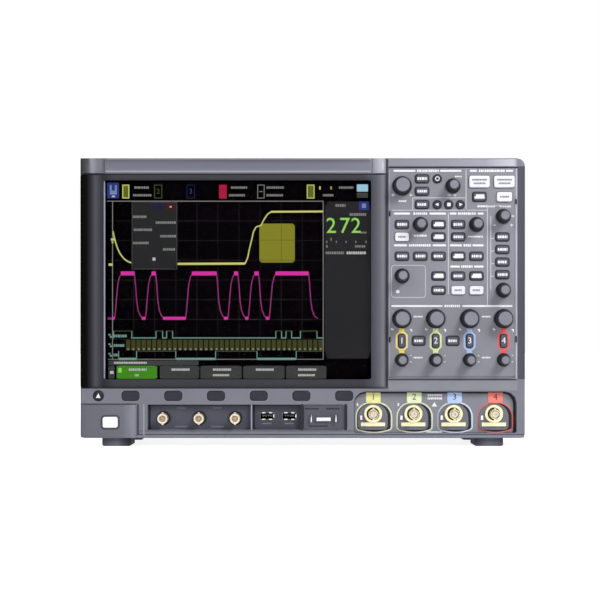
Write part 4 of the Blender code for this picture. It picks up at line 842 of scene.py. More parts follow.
# Port bay floor and terminal tile: darker greys that are painted shade of their recesses.
PORT_DARK = Finish("moulded_abs_port_bay_painted_shade", "#454651", 0.05, 30.0, (0.45, 0.6), 0.6, 0.03, constants=DULL)
TILE_GREY = Finish("moulded_abs_terminal_tile_painted_shade", "#575763", 0.04, 20.0, (0.45, 0.6), 0.6, 0.02, constants=DULL)
# Pale strips of painted highlight on lit edges and ribs.
HIGHLIGHT_PALE = Finish("painted_highlight_pale", "#9294A2", 0.03, 20.0, (0.35, 0.5), 0.6, 0.01, constants=SOFT_SHEEN)
LEDGE_DARK = Finish("moulded_abs_ledge_shadow", "#464752", 0.04, 20.0, (0.45, 0.6), 0.6, 0.02, constants=DULL)
LEDGE_PALE = Finish("moulded_abs_ledge", "#7C7F8D", 0.03, 30.0, (0.4, 0.55), 0.6, 0.02, constants=SOFT_SHEEN)
# Near-black used for painted shade in grooves, slots, recesses, socket mouths, gaps and screw slots, and for the
# dark print on the terminal tile.
SHADE_AND_PRINT_DARK = Finish("painted_shade_and_print_dark", "#22222B", 0.06, 20.0, (0.5, 0.7), 0.6, 0.02, constants=DULL)
# Pale line of painted highlight along the control panel's edges.
EDGE_HIGHLIGHT = Finish("painted_highlight_edge", "#B2B2BF", 0.03, 20.0, (0.3, 0.45), 0.6, 0.01, constants=SOFT_SHEEN)
# Silicone rubber and soft-touch paint: matte, with a broad weak sheen
# Dark silicone of the round keys and key collars; on the collars the dark also paints the shade of the gap round
# each key.
KEY_DARK = Finish("silicone_key_dark_and_gap_shade", "#33333D", 0.06, 12.0, (0.5, 0.65), 0.5, 0.02, constants=DULL)
KEY_FACE = Finish("silicone_key_face", "#585964", 0.05, 8.0, (0.45, 0.6), 0.5, 0.02, constants=DULL)
SOFTKEY_DARK = Finish("silicone_softkey", "#2C2C36", 0.05, 15.0, (0.4, 0.55), 0.5, 0.02, constants=DULL)
KNOB_DARK = Finish("soft_touch_knob_skirt", "#1C1C25", 0.08, 10.0, (0.42, 0.58), 0.5, 0.02, constants=DULL)
KNOB_CAP = Finish("satin_knob_cap", "#7F808B", 0.03, 14.0, (0.3, 0.42), 0.4, 0.012, constants=SOFT_SHEEN)
KNOB_RIM = Finish("satin_knob_rim", "#363741", 0.05, 10.0, (0.35, 0.48), 0.4, 0.012, constants=SOFT_SHEEN)
# Feet: grey rubber, with painted shade at the ends of each foot and a lighter, highlighted middle.
FOOT_BLACK = ShadedSweep(
    "moulded_rubber_foot_painted_shading", "#5A5B67", tone=0.08, rough=(0.6, 0.8), grain=0.8, depth=0.05, constants=DULL,
    stops=((-194.0, "#2E2E3A"), (-188.0, "#565763"), (-178.0, "#6E6F7C"), (-170.0, "#3C3C48"), (-163.0, "#181820"),
           (160.0, "#181820"), (167.0, "#3C3C48"), (177.0, "#6A6B78"), (186.0, "#63646F"), (194.0, "#3A3A46")))
TAB_BLACK = Finish("moulded_nylon_tab", "#303038", 0.06, 20.0, (0.45, 0.6), 0.7, 0.03, constants=DULL)
FAN_BLACK = Finish("glass_filled_nylon_fan", "#1E1E22", 0.08, 15.0, (0.45, 0.6), 0.7, 0.03, constants=DULL)
# Translucent key caps lit from inside: milky, with a weak even glow
MILKY = (("Subsurface Weight", 0.15), ("Subsurface Scale", 0.002))
KEY_LIT = Finish(
    "milky_lit_key", "#E9E9F2", 0.02, 8.0, (0.3, 0.4), 0.5, 0.01, constants=(*MILKY, ("Emission Strength", 0.0)))
POWER_LIT = Finish(
    "milky_power_key", "#FAFDFD", 0.01, 8.0, (0.3, 0.4), 0.5, 0.01, constants=(*MILKY, ("Emission Strength", 0.2)))
LABEL_SILVER = Finish(
    "printed_label_film", "#A9ABB2", 0.03, 20.0, (0.35, 0.45), 0.5, 0.004, constants=SOFT_SHEEN
)
# Metals: zinc-plated sheet steel is dull and faintly lined; the connector platings are bright and smooth
STEEL = Brushed("zinc_plated_sheet_steel", "#B4B6BA", 0.06, 25.0, (0.3, 0.45), 0.8, 0.02, metallic=1.0)
NICKEL = Finish("nickel_flashed_brass", "#C9C4BA", 0.05, 6.0, (0.18, 0.3), 0.6, 0.01, metallic=1.0)
GOLD = Finish("gold_flashed_brass", "#F6EBC4", 0.05, 6.0, (0.22, 0.34), 0.6, 0.01, metallic=0.75)
GOLD_PALE = Finish("pale_gold_contact", "#F4E9C4", 0.04, 6.0, (0.25, 0.38), 0.6, 0.01, metallic=0.7)
CREAM_BRASS = Finish("cream_plated_brass", "#E6DCC8", 0.05, 5.0, (0.25, 0.38), 0.5, 0.01, metallic=0.6)
SHELL_DIM = Finish("tinned_shell_dim", "#77777F", 0.06, 8.0, (0.3, 0.42), 0.6, 0.01, metallic=0.8)
CHROME = Finish("bright_tinned_shell", "#D8D8E0", 0.04, 8.0, (0.15, 0.25), 0.6, 0.008, metallic=1.0)
# Insulators, the boards and the parts of the display
INSULATOR = Finish("ptfe_insulator", "#E6DCD6", 0.03, 5.0, (0.35, 0.5), 0.5, 0.01)
AGED_CORE = Finish("aged_ptfe_core", "#B89878", 0.06, 4.0, (0.4, 0.55), 0.5, 0.01)
BLACK_PLASTIC = Finish("moulded_pbt_black", "#17171B", 0.08, 10.0, (0.35, 0.5), 0.6, 0.02, constants=DULL)
BOARD = Laminate("solder_masked_laminate", "#1C5A36", 0.06, 20.0, (0.3, 0.45), 0.8, 0.02)
GLASS = Glass("coated_display_glass", "#FFFFFF", tone_size=40.0, rough=(0.0, 0.002),
              constants=(("Transmission Weight", 1.0), ("IOR", 1.02), (SPECULAR, 0.2)))
LCD_BLACK = Finish("lcd_cell_black", "#050306", 0.1, 30.0, (0.3, 0.4), 0.5, 0.004, constants=((SPECULAR, 0.0),))


def ink(name: str, colour: str, tone: float = 0.02) -> Finish:
    """Gives a screen-printed or pad-printed ink: thin, even and matte."""
    return Finish(name, colour, tone, 6.0, (0.5, 0.6), 0.3, 0.004, constants=DULL)


def inks(kind: str, *codes: str) -> tuple[Finish, ...]:
    """Gives the printed inks of the four channels, one for each hex colour."""
    return tuple(ink(f"{kind}_{i + 1}", code) for i, code in enumerate(codes))


INK_WHITE = ink("printed_ink_white", "#F0F0F6")
INK_PALE = ink("printed_ink_pale", "#CCCCD8")
INK_GREY = ink("printed_ink_grey", "#7C7C88", 0.04)
INK_DARK = ink("printed_ink_dark", "#3C3C2E", 0.04)
CHANNEL_INKS = inks("channel_ink", "#F4F0A6", "#F0F8CC", "#BCD2FC", "#FA8A80")
RING_INKS = inks("ring_ink", "#F4DE7C", "#E2ECAC", "#ACC6F4", "#F2625E")
SHIELD_INKS = inks("shield_ink", "#E8E8C8", "#E0E8D2", "#DCE2F4", "#DE7672")


def paint(thing: Thing, finish: Finish) -> Thing:
    """Gives a piece one finish all over."""
    thing.data.materials.clear()
    thing.data.materials.append(finish.made())
    return thing


def settle(
    thing: Thing, name: str, body: str, stands_for: Sequence[str] = ()
) -> Thing:
    """Names a finished piece and hands it to its body.

    Args:
        thing: Finished piece.
        name: Its name.
        body: CAD body that it rides on.
        stands_for: CAD nodes that it replaces.

    Returns:
        The same piece.
    """
    thing.name = name
    thing.data.name = name
    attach(thing, body)
    if stands_for:
        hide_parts(*stands_for)
    LOG.info("%s: %d faces on %s", name, len(thing.data.polygons), body)
    return thing


def fit(thing: Thing, finish: Finish, name: str) -> Thing:
    """Gives a piece one finish and hands it to the housing."""
    return settle(paint(thing, finish), name, "housing")


# ---------------------------------------------------------------- studio

@dataclass
class Studio:
    """Camera, floor, sky and lamps.

    The camera is level and square to the front panel, as in the photograph, with
    a small upward shift that puts the object's middle in the frame's middle.
    """

    frame_width: float = 573.0
    frame_middle_z: float = 139.9
    sensor: float = 36.0
    sky_fill: float = 0.34
    sky_gloss: tuple[float, float] = (0.2, 1.25)
    sky_side: tuple[float, float, float] = (0.65, -0.25, 0.6)
    floor_size: float = 30000.0

    def build(self) -> None:
        """Builds the whole stage."""
        self.add_camera()
        self.add_floor()
        self.add_sky()
        self.add_lamp("key_lamp", (950.0, -1300.0, 1250.0), 700.0, 24.0)
        self.add_lamp("fill_lamp", (-1100.0, -1300.0, 900.0), 1200.0, 7.0)
        self.add_lamp("back_lamp", (300.0, 1300.0, 1400.0), 1200.0, 11.5)

    def add_camera(self) -> None:
        """Adds the camera at the photograph's angle."""
        lens = bpy.data.cameras.new("camera")
        lens.sensor_width = self.sensor
        lens.lens = self.sensor * CAMERA_RANGE / self.frame_width
        lens.shift_y = (self.frame_middle_z - CAMERA_Z) / self.frame_width
        lens.clip_start, lens.clip_end = 0.05, 60.0
        camera = bpy.data.objects.new("camera", lens)
        camera.location = Vector((CAMERA_X, FRONT - CAMERA_RANGE, CAMERA_Z)) * MM
        camera.rotation_euler = (math.pi / 2, 0, 0)
        bpy.context.collection.objects.link(camera)
        bpy.context.scene.camera = camera
        bpy.context.scene.view_settings.view_transform = "Standard"

    def add_floor(self) -> None:
        """Adds the pale floor, which keeps the object's shadow."""
        clear_selection()
        bpy.ops.mesh.primitive_plane_add(size=self.floor_size * MM, location=(0, 0, -0.0002))
        floor = bpy.context.object
        floor.name = "studio_floor"
        bpy.ops.object.mode_set(mode="EDIT")
        bpy.ops.mesh.subdivide(number_cuts=3)
        bpy.ops.object.mode_set(mode="OBJECT")
        material = bpy.data.materials.new("studio_floor")
        material.use_nodes = True
        tree = material.node_tree
        surface = tree.nodes["Principled BSDF"]
        surface.inputs["Base Color"].default_value = linear("#F2F2F2")
        surface.inputs["Roughness"].default_value = 0.9
        surface.inputs[SPECULAR].default_value = 0.1
        rays = node(tree, "ShaderNodeLightPath")
        seen_by = node(
            tree, "ShaderNodeMath", {0: rays.outputs["Is Camera Ray"], 1: rays.outputs["Is Glossy Ray"]},
            operation="MAXIMUM"
        )
        place = node(tree, "ShaderNodeTexCoord").outputs["Object"]
        away = node(tree, "ShaderNodeVectorMath", {0: place}, operation="LENGTH").outputs["Value"]
        rise = node(
            tree, "ShaderNodeMapRange",
            {"Value": away, "From Min": 0.35, "From Max": 1.6, "To Min": 0.86, "To Max": 1.0}
        )
        glow = node(
            tree, "ShaderNodeMath", {0: seen_by.outputs[0], 1: rise.outputs["Result"]}, operation="MULTIPLY"
        )
        surface.inputs["Emission Color"].default_value = (1, 1, 1, 1)
        tree.links.new(glow.outputs[0], surface.inputs["Emission Strength"])
        floor.data.materials.append(material)

    def add_sky(self) -> None:
        """Adds a sky that the camera sees as white and that lights the object evenly."""
        world = bpy.data.worlds.new("studio_sky")
        bpy.context.scene.world = world
        world.use_nodes = True
        tree = world.node_tree
        rays = node(tree, "ShaderNodeLightPath").outputs
        way = node(tree, "ShaderNodeTexCoord").outputs["Generated"]
        side = node(
            tree, "ShaderNodeVectorMath", {0: way, 1: self.sky_side}, operation="DOT_PRODUCT"
        ).outputs["Value"]
        low, high = self.sky_gloss
        shine = node(
            tree, "ShaderNodeMapRange", {"Value": side, "From Max": 0.9, "To Min": low, "To Max": high}
        )
        gloss = node(
            tree, "ShaderNodeMapRange",
            {"Value": rays["Is Glossy Ray"], "To Min": self.sky_fill, "To Max": shine.outputs["Result"]}
        )
        both = node(
            tree, "ShaderNodeMath", {0: rays["Is Camera Ray"], 1: gloss.outputs["Result"]},
            operation="MAXIMUM"
        )
        sky = tree.nodes["Background"]
        sky.inputs["Color"].default_value = (1, 1, 1, 1)
        tree.links.new(both.outputs[0], sky.inputs["Strength"])

    def add_lamp(self, name: str, place: Sequence[float], size: float, watts: float) -> None:
        """Adds a square soft lamp that looks at the object.

        Args:
            name: Name of the lamp.
            place: Where it stands.
            size: Side of the lamp.
            watts: Its power.
        """
        lamp = bpy.data.lights.new(name, "AREA")
        lamp.size = size * MM
        lamp.energy = watts
        thing = bpy.data.objects.new(name, lamp)
        thing.location = Vector(place) * MM
        thing.rotation_euler = (Vector((0, 0, 0.14)) - thing.location).to_track_quat("-Z", "Y").to_euler()
        bpy.context.collection.objects.link(thing)


# ---------------------------------------------------------------- the housing

CARRIED_OVER: dict[str, tuple[Finish, float]] = {
    "front_bezel": (BEZEL_GREY, 0.5),
    "rear_cover": (COVER_GREY, 0.8),
    "control_panel": (PANEL_GREY, 0.25),
    "display_glass": (GLASS, 0.0),
    "lcd_module": (LCD_BLACK, 0.0),
    "chassis": (STEEL, 0.3),
    "main_board": (BOARD, 0.0),
    "power_supply": (STEEL, 0.0),
    "fan_frame": (FAN_BLACK, 0.5),
    "fan_rotor": (FAN_BLACK, 0.4),
    "keypad_board": (BOARD, 0.0),
    # The feet's finish paints shade at their ends and a lighter middle.
    "front_foot_left": (FOOT_BLACK, 1.6),
    "front_foot_right": (FOOT_BLACK, 1.6),
    "tilt_tab_left": (TAB_BLACK, 0.5),
    "tilt_tab_right": (TAB_BLACK, 0.5),
    "carry_handle": (TAB_BLACK, 1.2),
}


@dataclass
class CarriedOver:
    """CAD nodes that keep their shape: each gets its finish, and each with a rim width a fine edge rounding."""

    weld: float = 0.004
    sharp: float = 30.0

    def dress(self) -> None:
        """Dresses every CAD node that stays."""
        for name, (finish, rim) in CARRIED_OVER.items():
            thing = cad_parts[name]
            paint(thing, finish)
            if rim:
                self.round_edges(thing, rim)
            LOG.info("%s keeps its CAD shape in %s", name, finish.name)

    def round_edges(self, thing: Thing, rim: float) -> None:
        """Adds live modifiers that merge the loose triangles and round sharp edges.

        Args:
            thing: CAD node.
            rim: Width of the rounding.
        """
        merge = thing.modifiers.new("merge", "WELD")
        merge.merge_threshold = self.weld * MM
        add_rim(thing, rim, 2, self.sharp)


@dataclass
class ScreenSurround:
    """Dark convex frame round the display, with the header above it.

    The frame's left band is a wide rounded pillar; the header carries on its
    curve in a lighter grey, and holds a bare inlay where a name would be. Their
    colours paint shade and highlight across these rounded bands.
    """

    outer: Rect = field(default_factory=lambda: seen(80.4, 174.6, 386.2, 387.8))
    inner: Rect = field(default_factory=lambda: seen(105.2, 180.2, 371.2, 379.4))
    header: Rect = field(default_factory=lambda: seen(80.6, 158.4, 386.2, 173.6))
    inlay: Rect = field(default_factory=lambda: seen(104.6, 160.0, 371.6, 172.2))
    crest: float = 2.6
    profile: tuple[tuple[float, float], ...] = (
        (0.0, 0.0), (0.08, 0.42), (0.2, 0.74), (0.34, 0.93), (0.48, 1.0), (0.62, 0.94), (0.78, 0.8),
        (0.93, 0.6), (1.0, 0.52),
    )

    def build(self) -> None:
        """Builds frame, header, inlay and the seams between them."""
        self.add_frame()
        self.add_header()
        self.add_seams()

    def add_frame(self) -> None:
        """Adds the frame as nested rectangles that follow one rounded profile."""
        sections = [(self.outer, FRONT + 0.05)]
        for share, height in self.profile:
            box = tuple(a + (b - a) * share for a, b in zip(self.outer, self.inner))
            sections.append((box, FRONT - 0.15 - self.crest * height))
        sections.append((self.inner, FRONT + 0.9))
        frame_piece = grow("screen_surround", sections, 2.2, 3, open_front=True)
        fit(smooth(frame_piece, 50), SURROUND_DARK, "screen_surround")

    def add_header(self) -> None:
        """Adds the header moulding, its two end posts and the inlay."""
        x0, x1, z0, z1 = self.header
        i0, i1, j0, j1 = self.inlay
        pieces = [self.post("left_post", x0, i0, z0, z1), self.post("right_post", i1, x1, z0, z1)]
        rail = [
            ((i0, i1, z0, z1), FRONT + 0.05), ((i0, i1, z0, z1), FRONT - 1.0),
            ((i0, i1, z0 + 0.7, z1 - 1.2), FRONT - 1.5)
        ]
        pieces.append(grow("header_rail", rail))
        header = smooth(join("header", pieces), 50)
        fit(header, HEADER_GREY, "header")
        plate = (i0 + 0.6, i1 - 0.6, j0, j1)
        inlay = soften(prism("header_inlay", plate, FRONT - 1.3, FRONT - 1.8, corner=1.2), 0.25)
        fit(inlay, HEADER_INLAY, "header_inlay")

    def post(self, name: str, x0: float, x1: float, z0: float, z1: float) -> Thing:
        """Builds one rounded end of the header.

        Args:
            name: Name of the piece.
            x0: Left side.
            x1: Right side.
            z0: Lower side.
            z1: Upper side.

        Returns:
            The piece.
        """
        middle = (x0 + x1) / 2 + (1.2 if x0 < 0 else 0.6)
        sections = [((x0, x1, z0, z1), FRONT + 0.05)]
        for share, height in ((0.0, 0.12), (0.12, 0.46), (0.3, 0.75), (0.5, 0.92), (0.75, 1.0)):
            box = (x0 + (middle - x0) * share, x1 - (x1 - middle) * share, z0 + 0.5 * share, z1 - 1.0 * share)
            sections.append((box, FRONT - self.crest * height))
        return grow(name, sections)

    def add_seams(self) -> None:
        """Adds dark strips of painted shade in the grooves round the frame and a pale strip of painted highlight
        at the display's left side.
        """
        lines = [
            seen(80.8, 173.7, 386.4, 174.8),
            seen(386.2, 158.8, 387.9, 388.4),
            seen(80.8, 387.7, 386.6, 388.6),
        ]
        seams = tiles("surround_groove_shade", lines, FRONT, 0.12, 0.05)
        fit(seams, SHADE_AND_PRINT_DARK, "surround_groove_shade")
        edge = tiles("surround_edge_highlight", [seen(104.3, 182.0, 105.5, 378.4, -61.0)], FRONT + 0.4, 2.2, 0.05)
        fit(edge, HIGHLIGHT_PALE, "surround_edge_highlight")


# ---------------------------------------------------------------- the display

class Tone(Enum):
    """Colours of the picture on the display."""

    GREY = "#84847E"
    PALE = "#C4C4C0"
    DIM = "#161614"
    PANEL = "#1C1C1F"
    TITLE_BLUE = "#12123C"
    TITLE_RED = "#3A0812"
    BLUE = "#24367C"
    HAZE = "#7A86B0"
    SKY = "#9CCCE0"
    YELLOW = "#CFCF70"
    OLIVE = "#5E6A14"
    ZONE = "#85851C"
    ZONE_LINE = "#6A6A12"
    LIME = "#96DC60"
    GREEN = "#3C4A22"
    CYAN = "#6E9C90"
    CLOCK = "#3A3B14"
    MAGENTA = "#D82CA4"
    MAGENTA_DIM = "#8E2A70"
    RED = "#A80C3C"
    MENU = "#3A3B3B"
    MENU_GREEN = "#3F8A16"


LAYERS = {Tone.DIM: 0.0} | dict.fromkeys((Tone.PANEL, Tone.ZONE, Tone.CLOCK, Tone.MENU), 0.04)
LAYERS |= dict.fromkeys((Tone.TITLE_BLUE, Tone.TITLE_RED, Tone.BLUE, Tone.OLIVE), 0.07)
PULSES = ((114.4, 134.4), (145.2, 155.6), (185.4, 216.5), (227.6, 237.8), (248.0, 258.4), (269.0, 308.5))
RISE = ((0.0, 318.6), (1.0, 312.0), (2.2, 297.0), (3.4, 284.0), (5.2, 276.5), (8.4, 273.5))
FALL = ((0.0, 273.5), (1.0, 283.0), (2.2, 300.0), (3.6, 310.0), (6.0, 316.0), (9.4, 318.5))


@dataclass
class Display:
    """The picture on the liquid-crystal display: traces, readouts and menu labels.

    Everything is placed by the photograph's pixels, on the panel's front face
    behind the glass. Readouts are plain figures and blocks that stand for print.
    """

    face: float = -56.9
    thickness: float = 0.08
    boxes: dict[Tone, list[Rect]] = field(default_factory=dict)
    lines: dict[Tone, list[Thing]] = field(default_factory=dict)

    def build(self) -> None:
        """Draws the picture and hands one piece for each colour to the housing."""
        self.draw_status_bar()
        self.draw_grid()
        self.draw_side_bar()
        self.draw_traces()
        self.draw_pulses()
        self.draw_digital_lines()
        self.draw_readouts()
        self.draw_menu()
        for tone in Tone:
            parts = list(self.lines.get(tone, []))
            if self.boxes.get(tone):
                parts.append(
                    tiles("lit_tiles", self.boxes[tone], self.face - self.layer(tone), self.thickness, 0.06)
                )
            name = f"display_{tone.name.lower()}"
            picture = paint(join(name, parts), Lit(f"lcd_{tone.name.lower()}", tone.value, 0.12))
            settle(picture, name, "housing")

    def layer(self, tone: Tone) -> float:
        """Gives how far in front of the panel a colour lies, so that overlaps stay clean."""
        return LAYERS.get(tone, 0.1)

    def put(self, tone: Tone, *places: Sequence[float]) -> None:
        """Adds filled boxes, each given by its pixel box."""
        for place in places:
            self.boxes.setdefault(tone, []).append(seen(*place, self.face))

    def ring(self, tone: Tone, left: float, top: float, right: float, bottom: float, line: float = 0.8) -> None:
        """Adds the outline of a pixel box."""
        self.put(tone, (left, top, right, top + line), (left, bottom - line, right, bottom))
        self.put(tone, (left, top, left + line, bottom), (right - line, top, right, bottom))

    def words(
        self, tone: Tone, left: float, right: float, row: float, height: float = 2.2, seed: int = 0
    ) -> None:
        """Adds a line of blocks that stands for print."""
        self.boxes.setdefault(tone, []).extend(print_row(left, right, row, height, seed, self.face))

    def number(self, tone: Tone, text: str, column: float, row: float, height: float) -> None:
        """Adds a plain figure, its height in pixels."""
        x, z = at(column, row, self.face)
        made = figure(text, x, z, height * PIXEL, self.face - self.layer(tone), self.thickness)
        self.lines.setdefault(tone, []).append(made)

    def trace(self, tone: Tone, points: Points, width: float = 0.9) -> None:
        """Adds a line through pixels."""
        places = [at(*point, self.face) for point in points]
        depth = self.face - self.layer(tone) - self.thickness / 2
        self.lines.setdefault(tone, []).append(stroke("trace", places, depth, width * PIXEL, self.thickness))

    def draw_status_bar(self) -> None:
        """Draws the row of channel tags and settings along the top."""
        self.put(Tone.BLUE, (107, 182.6, 119, 198.4), (358.9, 201.4, 369, 210.2))
        self.put(
            Tone.HAZE, (109.8, 185.2, 111.6, 194.6), (115.0, 185.2, 116.8, 194.6),
            (111.6, 190.6, 115.0, 194.6), (361.8, 203.6, 366.0, 208.0)
        )
        self.put(Tone.PALE, (111.8, 195.6, 115.0, 197.2))
        self.put(Tone.OLIVE, (122.8, 185.2, 128.9, 198.0), (307.4, 185.2, 314.0, 198.0))
        self.ring(Tone.YELLOW, 122.3, 184.7, 129.3, 198.5, 1.0)
        self.ring(Tone.YELLOW, 306.8, 184.7, 314.5, 198.5, 0.9)
        self.ring(Tone.GREEN, 154.2, 184.7, 162.2, 198.4)
        self.number(Tone.GREEN, "2", 158.2, 191.6, 5.4)
        self.ring(Tone.TITLE_BLUE, 186.6, 184.7, 194.8, 198.4)
        self.number(Tone.BLUE, "3", 190.7, 191.6, 5.0)
        self.put(Tone.RED, (219.0, 184.7, 226.8, 198.6))
        self.ring(Tone.GREY, 257.3, 184.7, 264.5, 198.4, 0.7)
        self.put(Tone.GREY, (259.4, 191.2, 262.4, 192.0))
        spans = (
            (134.4, 149.1, 0), (133.0, 151.3, 1), (231.0, 247.0, 0), (229.0, 245.5, 1), (266.5, 283.9, 0),
            (266.5, 283.9, 1), (323.0, 333.4, 1), (339.0, 353.3, 0)
        )
        for seed, (left, right, line) in enumerate(spans):
            self.words(Tone.GREY, left, right, 195.3 if line else 187.6, 2.2, seed)
        self.put(Tone.YELLOW, (319.2, 186.4, 320.6, 189.6), (330.6, 186.4, 331.6, 189.4))
        self.put(Tone.SKY, (356.8, 184.4, 368.0, 191.6))
        self.put(Tone.MENU, (356.8, 192.6, 368.0, 197.8))
        self.put(Tone.GREY, (107, 200.8, 323.4, 201.6))

    def draw_grid(self) -> None:
        """Draws the graticule with its bright left and right edges."""
        for step in range(10):
            column = 112.4 + step * 21.05
            self.put(Tone.DIM, (column, 202, column + 0.6, 358.6))
        for step in range(8):
            row = 220.6 + step * 19.7
            self.put(Tone.DIM, (107.6, row, 323, row + 0.6))
        self.put(
            Tone.GREY, (112.2, 201.6, 112.9, 359.0), (322.8, 201.4, 323.6, 359.6),
            (108.0, 359.0, 323.6, 359.6)
        )

    def draw_side_bar(self) -> None:
        """Draws the measurement bar at the right, with its large reading and its scale."""
        self.put(Tone.PANEL, (324.6, 201.6, 371.0, 358.6))
        self.words(Tone.GREY, 335.4, 345.6, 205.5, 2.6, 2)
        self.words(Tone.GREY, 349.7, 366.0, 214.5, 2.6, 5)
        for text, column in (("2", 331.2), ("7", 344.6), ("2", 356.0)):
            self.number(Tone.LIME, text, column, 226.3, 16.0)
        self.words(Tone.GREY, 360.6, 366.5, 232.6, 1.8, 1)
        for column in (326.7, 336.4, 346.1, 355.8, 366.0):
            self.put(Tone.GREY, (column - 0.5, 240.8, column + 0.5, 243.0))
        self.put(Tone.GREY, (330.6, 237.8, 331.6, 241.0), (326.2, 245.2, 327.6, 247.6))
        self.words(Tone.GREY, 354.8, 365.5, 246.4, 2.2, 3)
        self.words(Tone.GREY, 325.6, 344.0, 252.9, 2.6, 6)
        self.words(Tone.PALE, 346.6, 367.0, 252.9, 2.6, 4)

    def draw_readouts(self) -> None:
        """Draws the panel of readouts over the left part of the graticule."""
        self.put(Tone.PANEL, (132.2, 202.0, 176.4, 268.8))
        self.ring(Tone.MENU, 131.7, 201.8, 177.2, 269.5, 0.9)
        self.put(Tone.TITLE_BLUE, (152.7, 203.2, 163.2, 209.8))
        self.put(Tone.TITLE_RED, (164.7, 203.2, 176.4, 209.8))
        self.put(Tone.PALE, (169.6, 206.0, 171.6, 207.6), (152.6, 257.6, 155.4, 260.6))
        rows = (
            (133.0, 146.9, 216.8), (155.8, 175.9, 222.6), (133.9, 152.7, 229.8), (160.3, 175.9, 236.2),
            (133.0, 149.1, 243.0), (163.0, 175.4, 249.4)
        )
        for seed, (left, right, row) in enumerate(rows):
            self.words(Tone.GREY, left, right, row, 2.4, seed)

    def draw_traces(self) -> None:
        """Draws the analog trace, which passes behind the readouts, and the zone box."""
        decay = [(112.8 + 2.3 * i, 231.0 + 34.0 * (1 - math.exp(-i / 2.9))) for i in range(9)]
        self.trace(Tone.YELLOW, decay, 1.5)
        rise = [
            (177.6, 263.9), (245, 263.6), (247.6, 258), (249.6, 248), (251.6, 240), (253.4, 232),
            (256, 227), (261, 225.4), (264, 219.5), (267.4, 214.4), (271, 211.8), (322.8, 211.5)
        ]
        self.trace(Tone.YELLOW, rise[:2], 2.6)
        self.trace(Tone.YELLOW, rise[1:-1], 1.4)
        self.trace(Tone.YELLOW, rise[-2:], 2.2)
        self.put(
            Tone.YELLOW, (111.0, 238.4, 114.2, 240.6), (111.6, 241.4, 113.4, 243.0),
            (108.6, 263.4, 112.6, 265.8)
        )
        self.put(Tone.ZONE, (259.4, 223.6, 294.8, 262.6))
        self.put(
            Tone.ZONE_LINE, (280.9, 224.4, 281.7, 261.8), (260.0, 239.8, 294.2, 240.6),
            (260.0, 259.9, 294.2, 260.6)
        )

    def draw_pulses(self) -> None:
        """Draws the magenta pulses: thin rounded edges between bright flat stretches."""
        level = 112.6
        for start, end in PULSES:
            self.trace(Tone.MAGENTA_DIM, [(start + dx, row) for dx, row in RISE if start + dx < end - 0.5], 1.2)
            self.trace(Tone.MAGENTA_DIM, [(end + dx, row) for dx, row in FALL if end + dx < 322.6], 1.2)
            if start > level + 0.6:
                self.put(Tone.MAGENTA, (level, 316.8, start + 0.2, 319.8))
            if end > start + 9:
                self.put(Tone.MAGENTA, (start + 6.4, 271.4, end + 0.2, 275.4))
            level = end + 7.4

    def draw_digital_lines(self) -> None:
        """Draws the data line, the crowded clock and the enable line of the logic channels."""
        highs = ((113.6, 131.8), (156.0, 162.6), (166.6, 172.6), (275.8, 281.6), (286.0, 291.6), (300.4, 317.0))
        column = 113.6
        for start, end in highs:
            self.put(Tone.CYAN, (column, 337.4, start, 338.4), *self.flanks(start, end, 331.0, 338.4))
            self.put(Tone.GREEN, (start, 330.6, end, 331.4))
            column = end
        self.put(Tone.CYAN, (column, 337.4, 322.6, 338.4))
        for step in range(38):
            left = 126.0 + step * 5.2
            self.put(Tone.CLOCK, (left, 339.8, left + 4.2, 350.4))
            self.put(Tone.GREY, (left + 1.4, 348.2, left + 3.0, 350.0))
        for start, end in ((118.6, 136.6), (175.8, 215.6), (257.0, 296.2)):
            self.put(Tone.CYAN, (start, 357.8, end, 360.0), *self.flanks(start, end, 351.0, 358.0))
        for start, end in ((136.6, 175.8), (215.6, 257.0), (296.2, 322.6)):
            self.put(Tone.GREEN, (start, 350.8, end, 351.6))
        for row, right in ((336.0, 126.8), (345.5, 124.2), (355.0, 118.6)):
            self.words(Tone.CYAN, 113.6, right, row, 2.6, int(row))
            self.put(Tone.CYAN, (108.4, row - 2.0, 110.6, row - 0.6), (109.8, row, 112.0, row + 1.6))
        self.put(Tone.MAGENTA_DIM, (107.8, 317.4, 112.0, 319.6))

    def flanks(self, start: float, end: float, top: float, bottom: float) -> list[Rect]:
        """Gives the pixel boxes of a logic pulse's two upright edges."""
        return [(column - 0.4, top, column + 0.4, bottom) for column in (start, end)]

    def draw_menu(self) -> None:
        """Draws the soft-key labels along the bottom, the first one lit green."""
        self.put(Tone.MENU, (108.4, 360.4, 198.6, 365.4), (108.4, 366.0, 114.6, 378.6))
        self.words(Tone.PALE, 114.0, 147.0, 362.8, 2.0, 3)
        self.put(Tone.PALE, (110.0, 371.0, 113.6, 373.8))
        spans = ((116.6, 157.1), (159.8, 199.1), (200.4, 241.6), (243.2, 284.5), (286.0, 326.3))
        for seed, (left, right) in enumerate(spans):
            self.put(Tone.MENU_GREEN if seed == 0 else Tone.MENU, (left, 365.8, right, 378.8))
            middle = (left + right) / 2
            self.words(Tone.PALE, middle - 8, middle + 10, 369.6, 2.2, seed)
            if seed % 2 == 0:
                left, right = (middle - 2, middle + 2) if seed == 0 else (middle - 8, middle + 9)
                self.words(Tone.PALE, left, right, 375.2, 2.0, seed + 3)
        self.put(Tone.LIME, (118.2, 368.0, 121.6, 372.6))


# ---------------------------------------------------------------- the control panel

def panel_x(across: float) -> float:
    """Turns a distance from the panel's left edge to X."""
    return PANEL_LEFT + across


def panel_z(down: float) -> float:
    """Turns a distance from the panel's upper edge to Z."""
    return PANEL_TOP - down


CHANNELS = tuple(panel_x(12.7 + 32.4 * i) for i in range(4))
CHANNEL_KEY_ROW = 165.1  # down from the panel's upper edge
CHANNEL_KEY_SIZE = (7.1, 13.2)


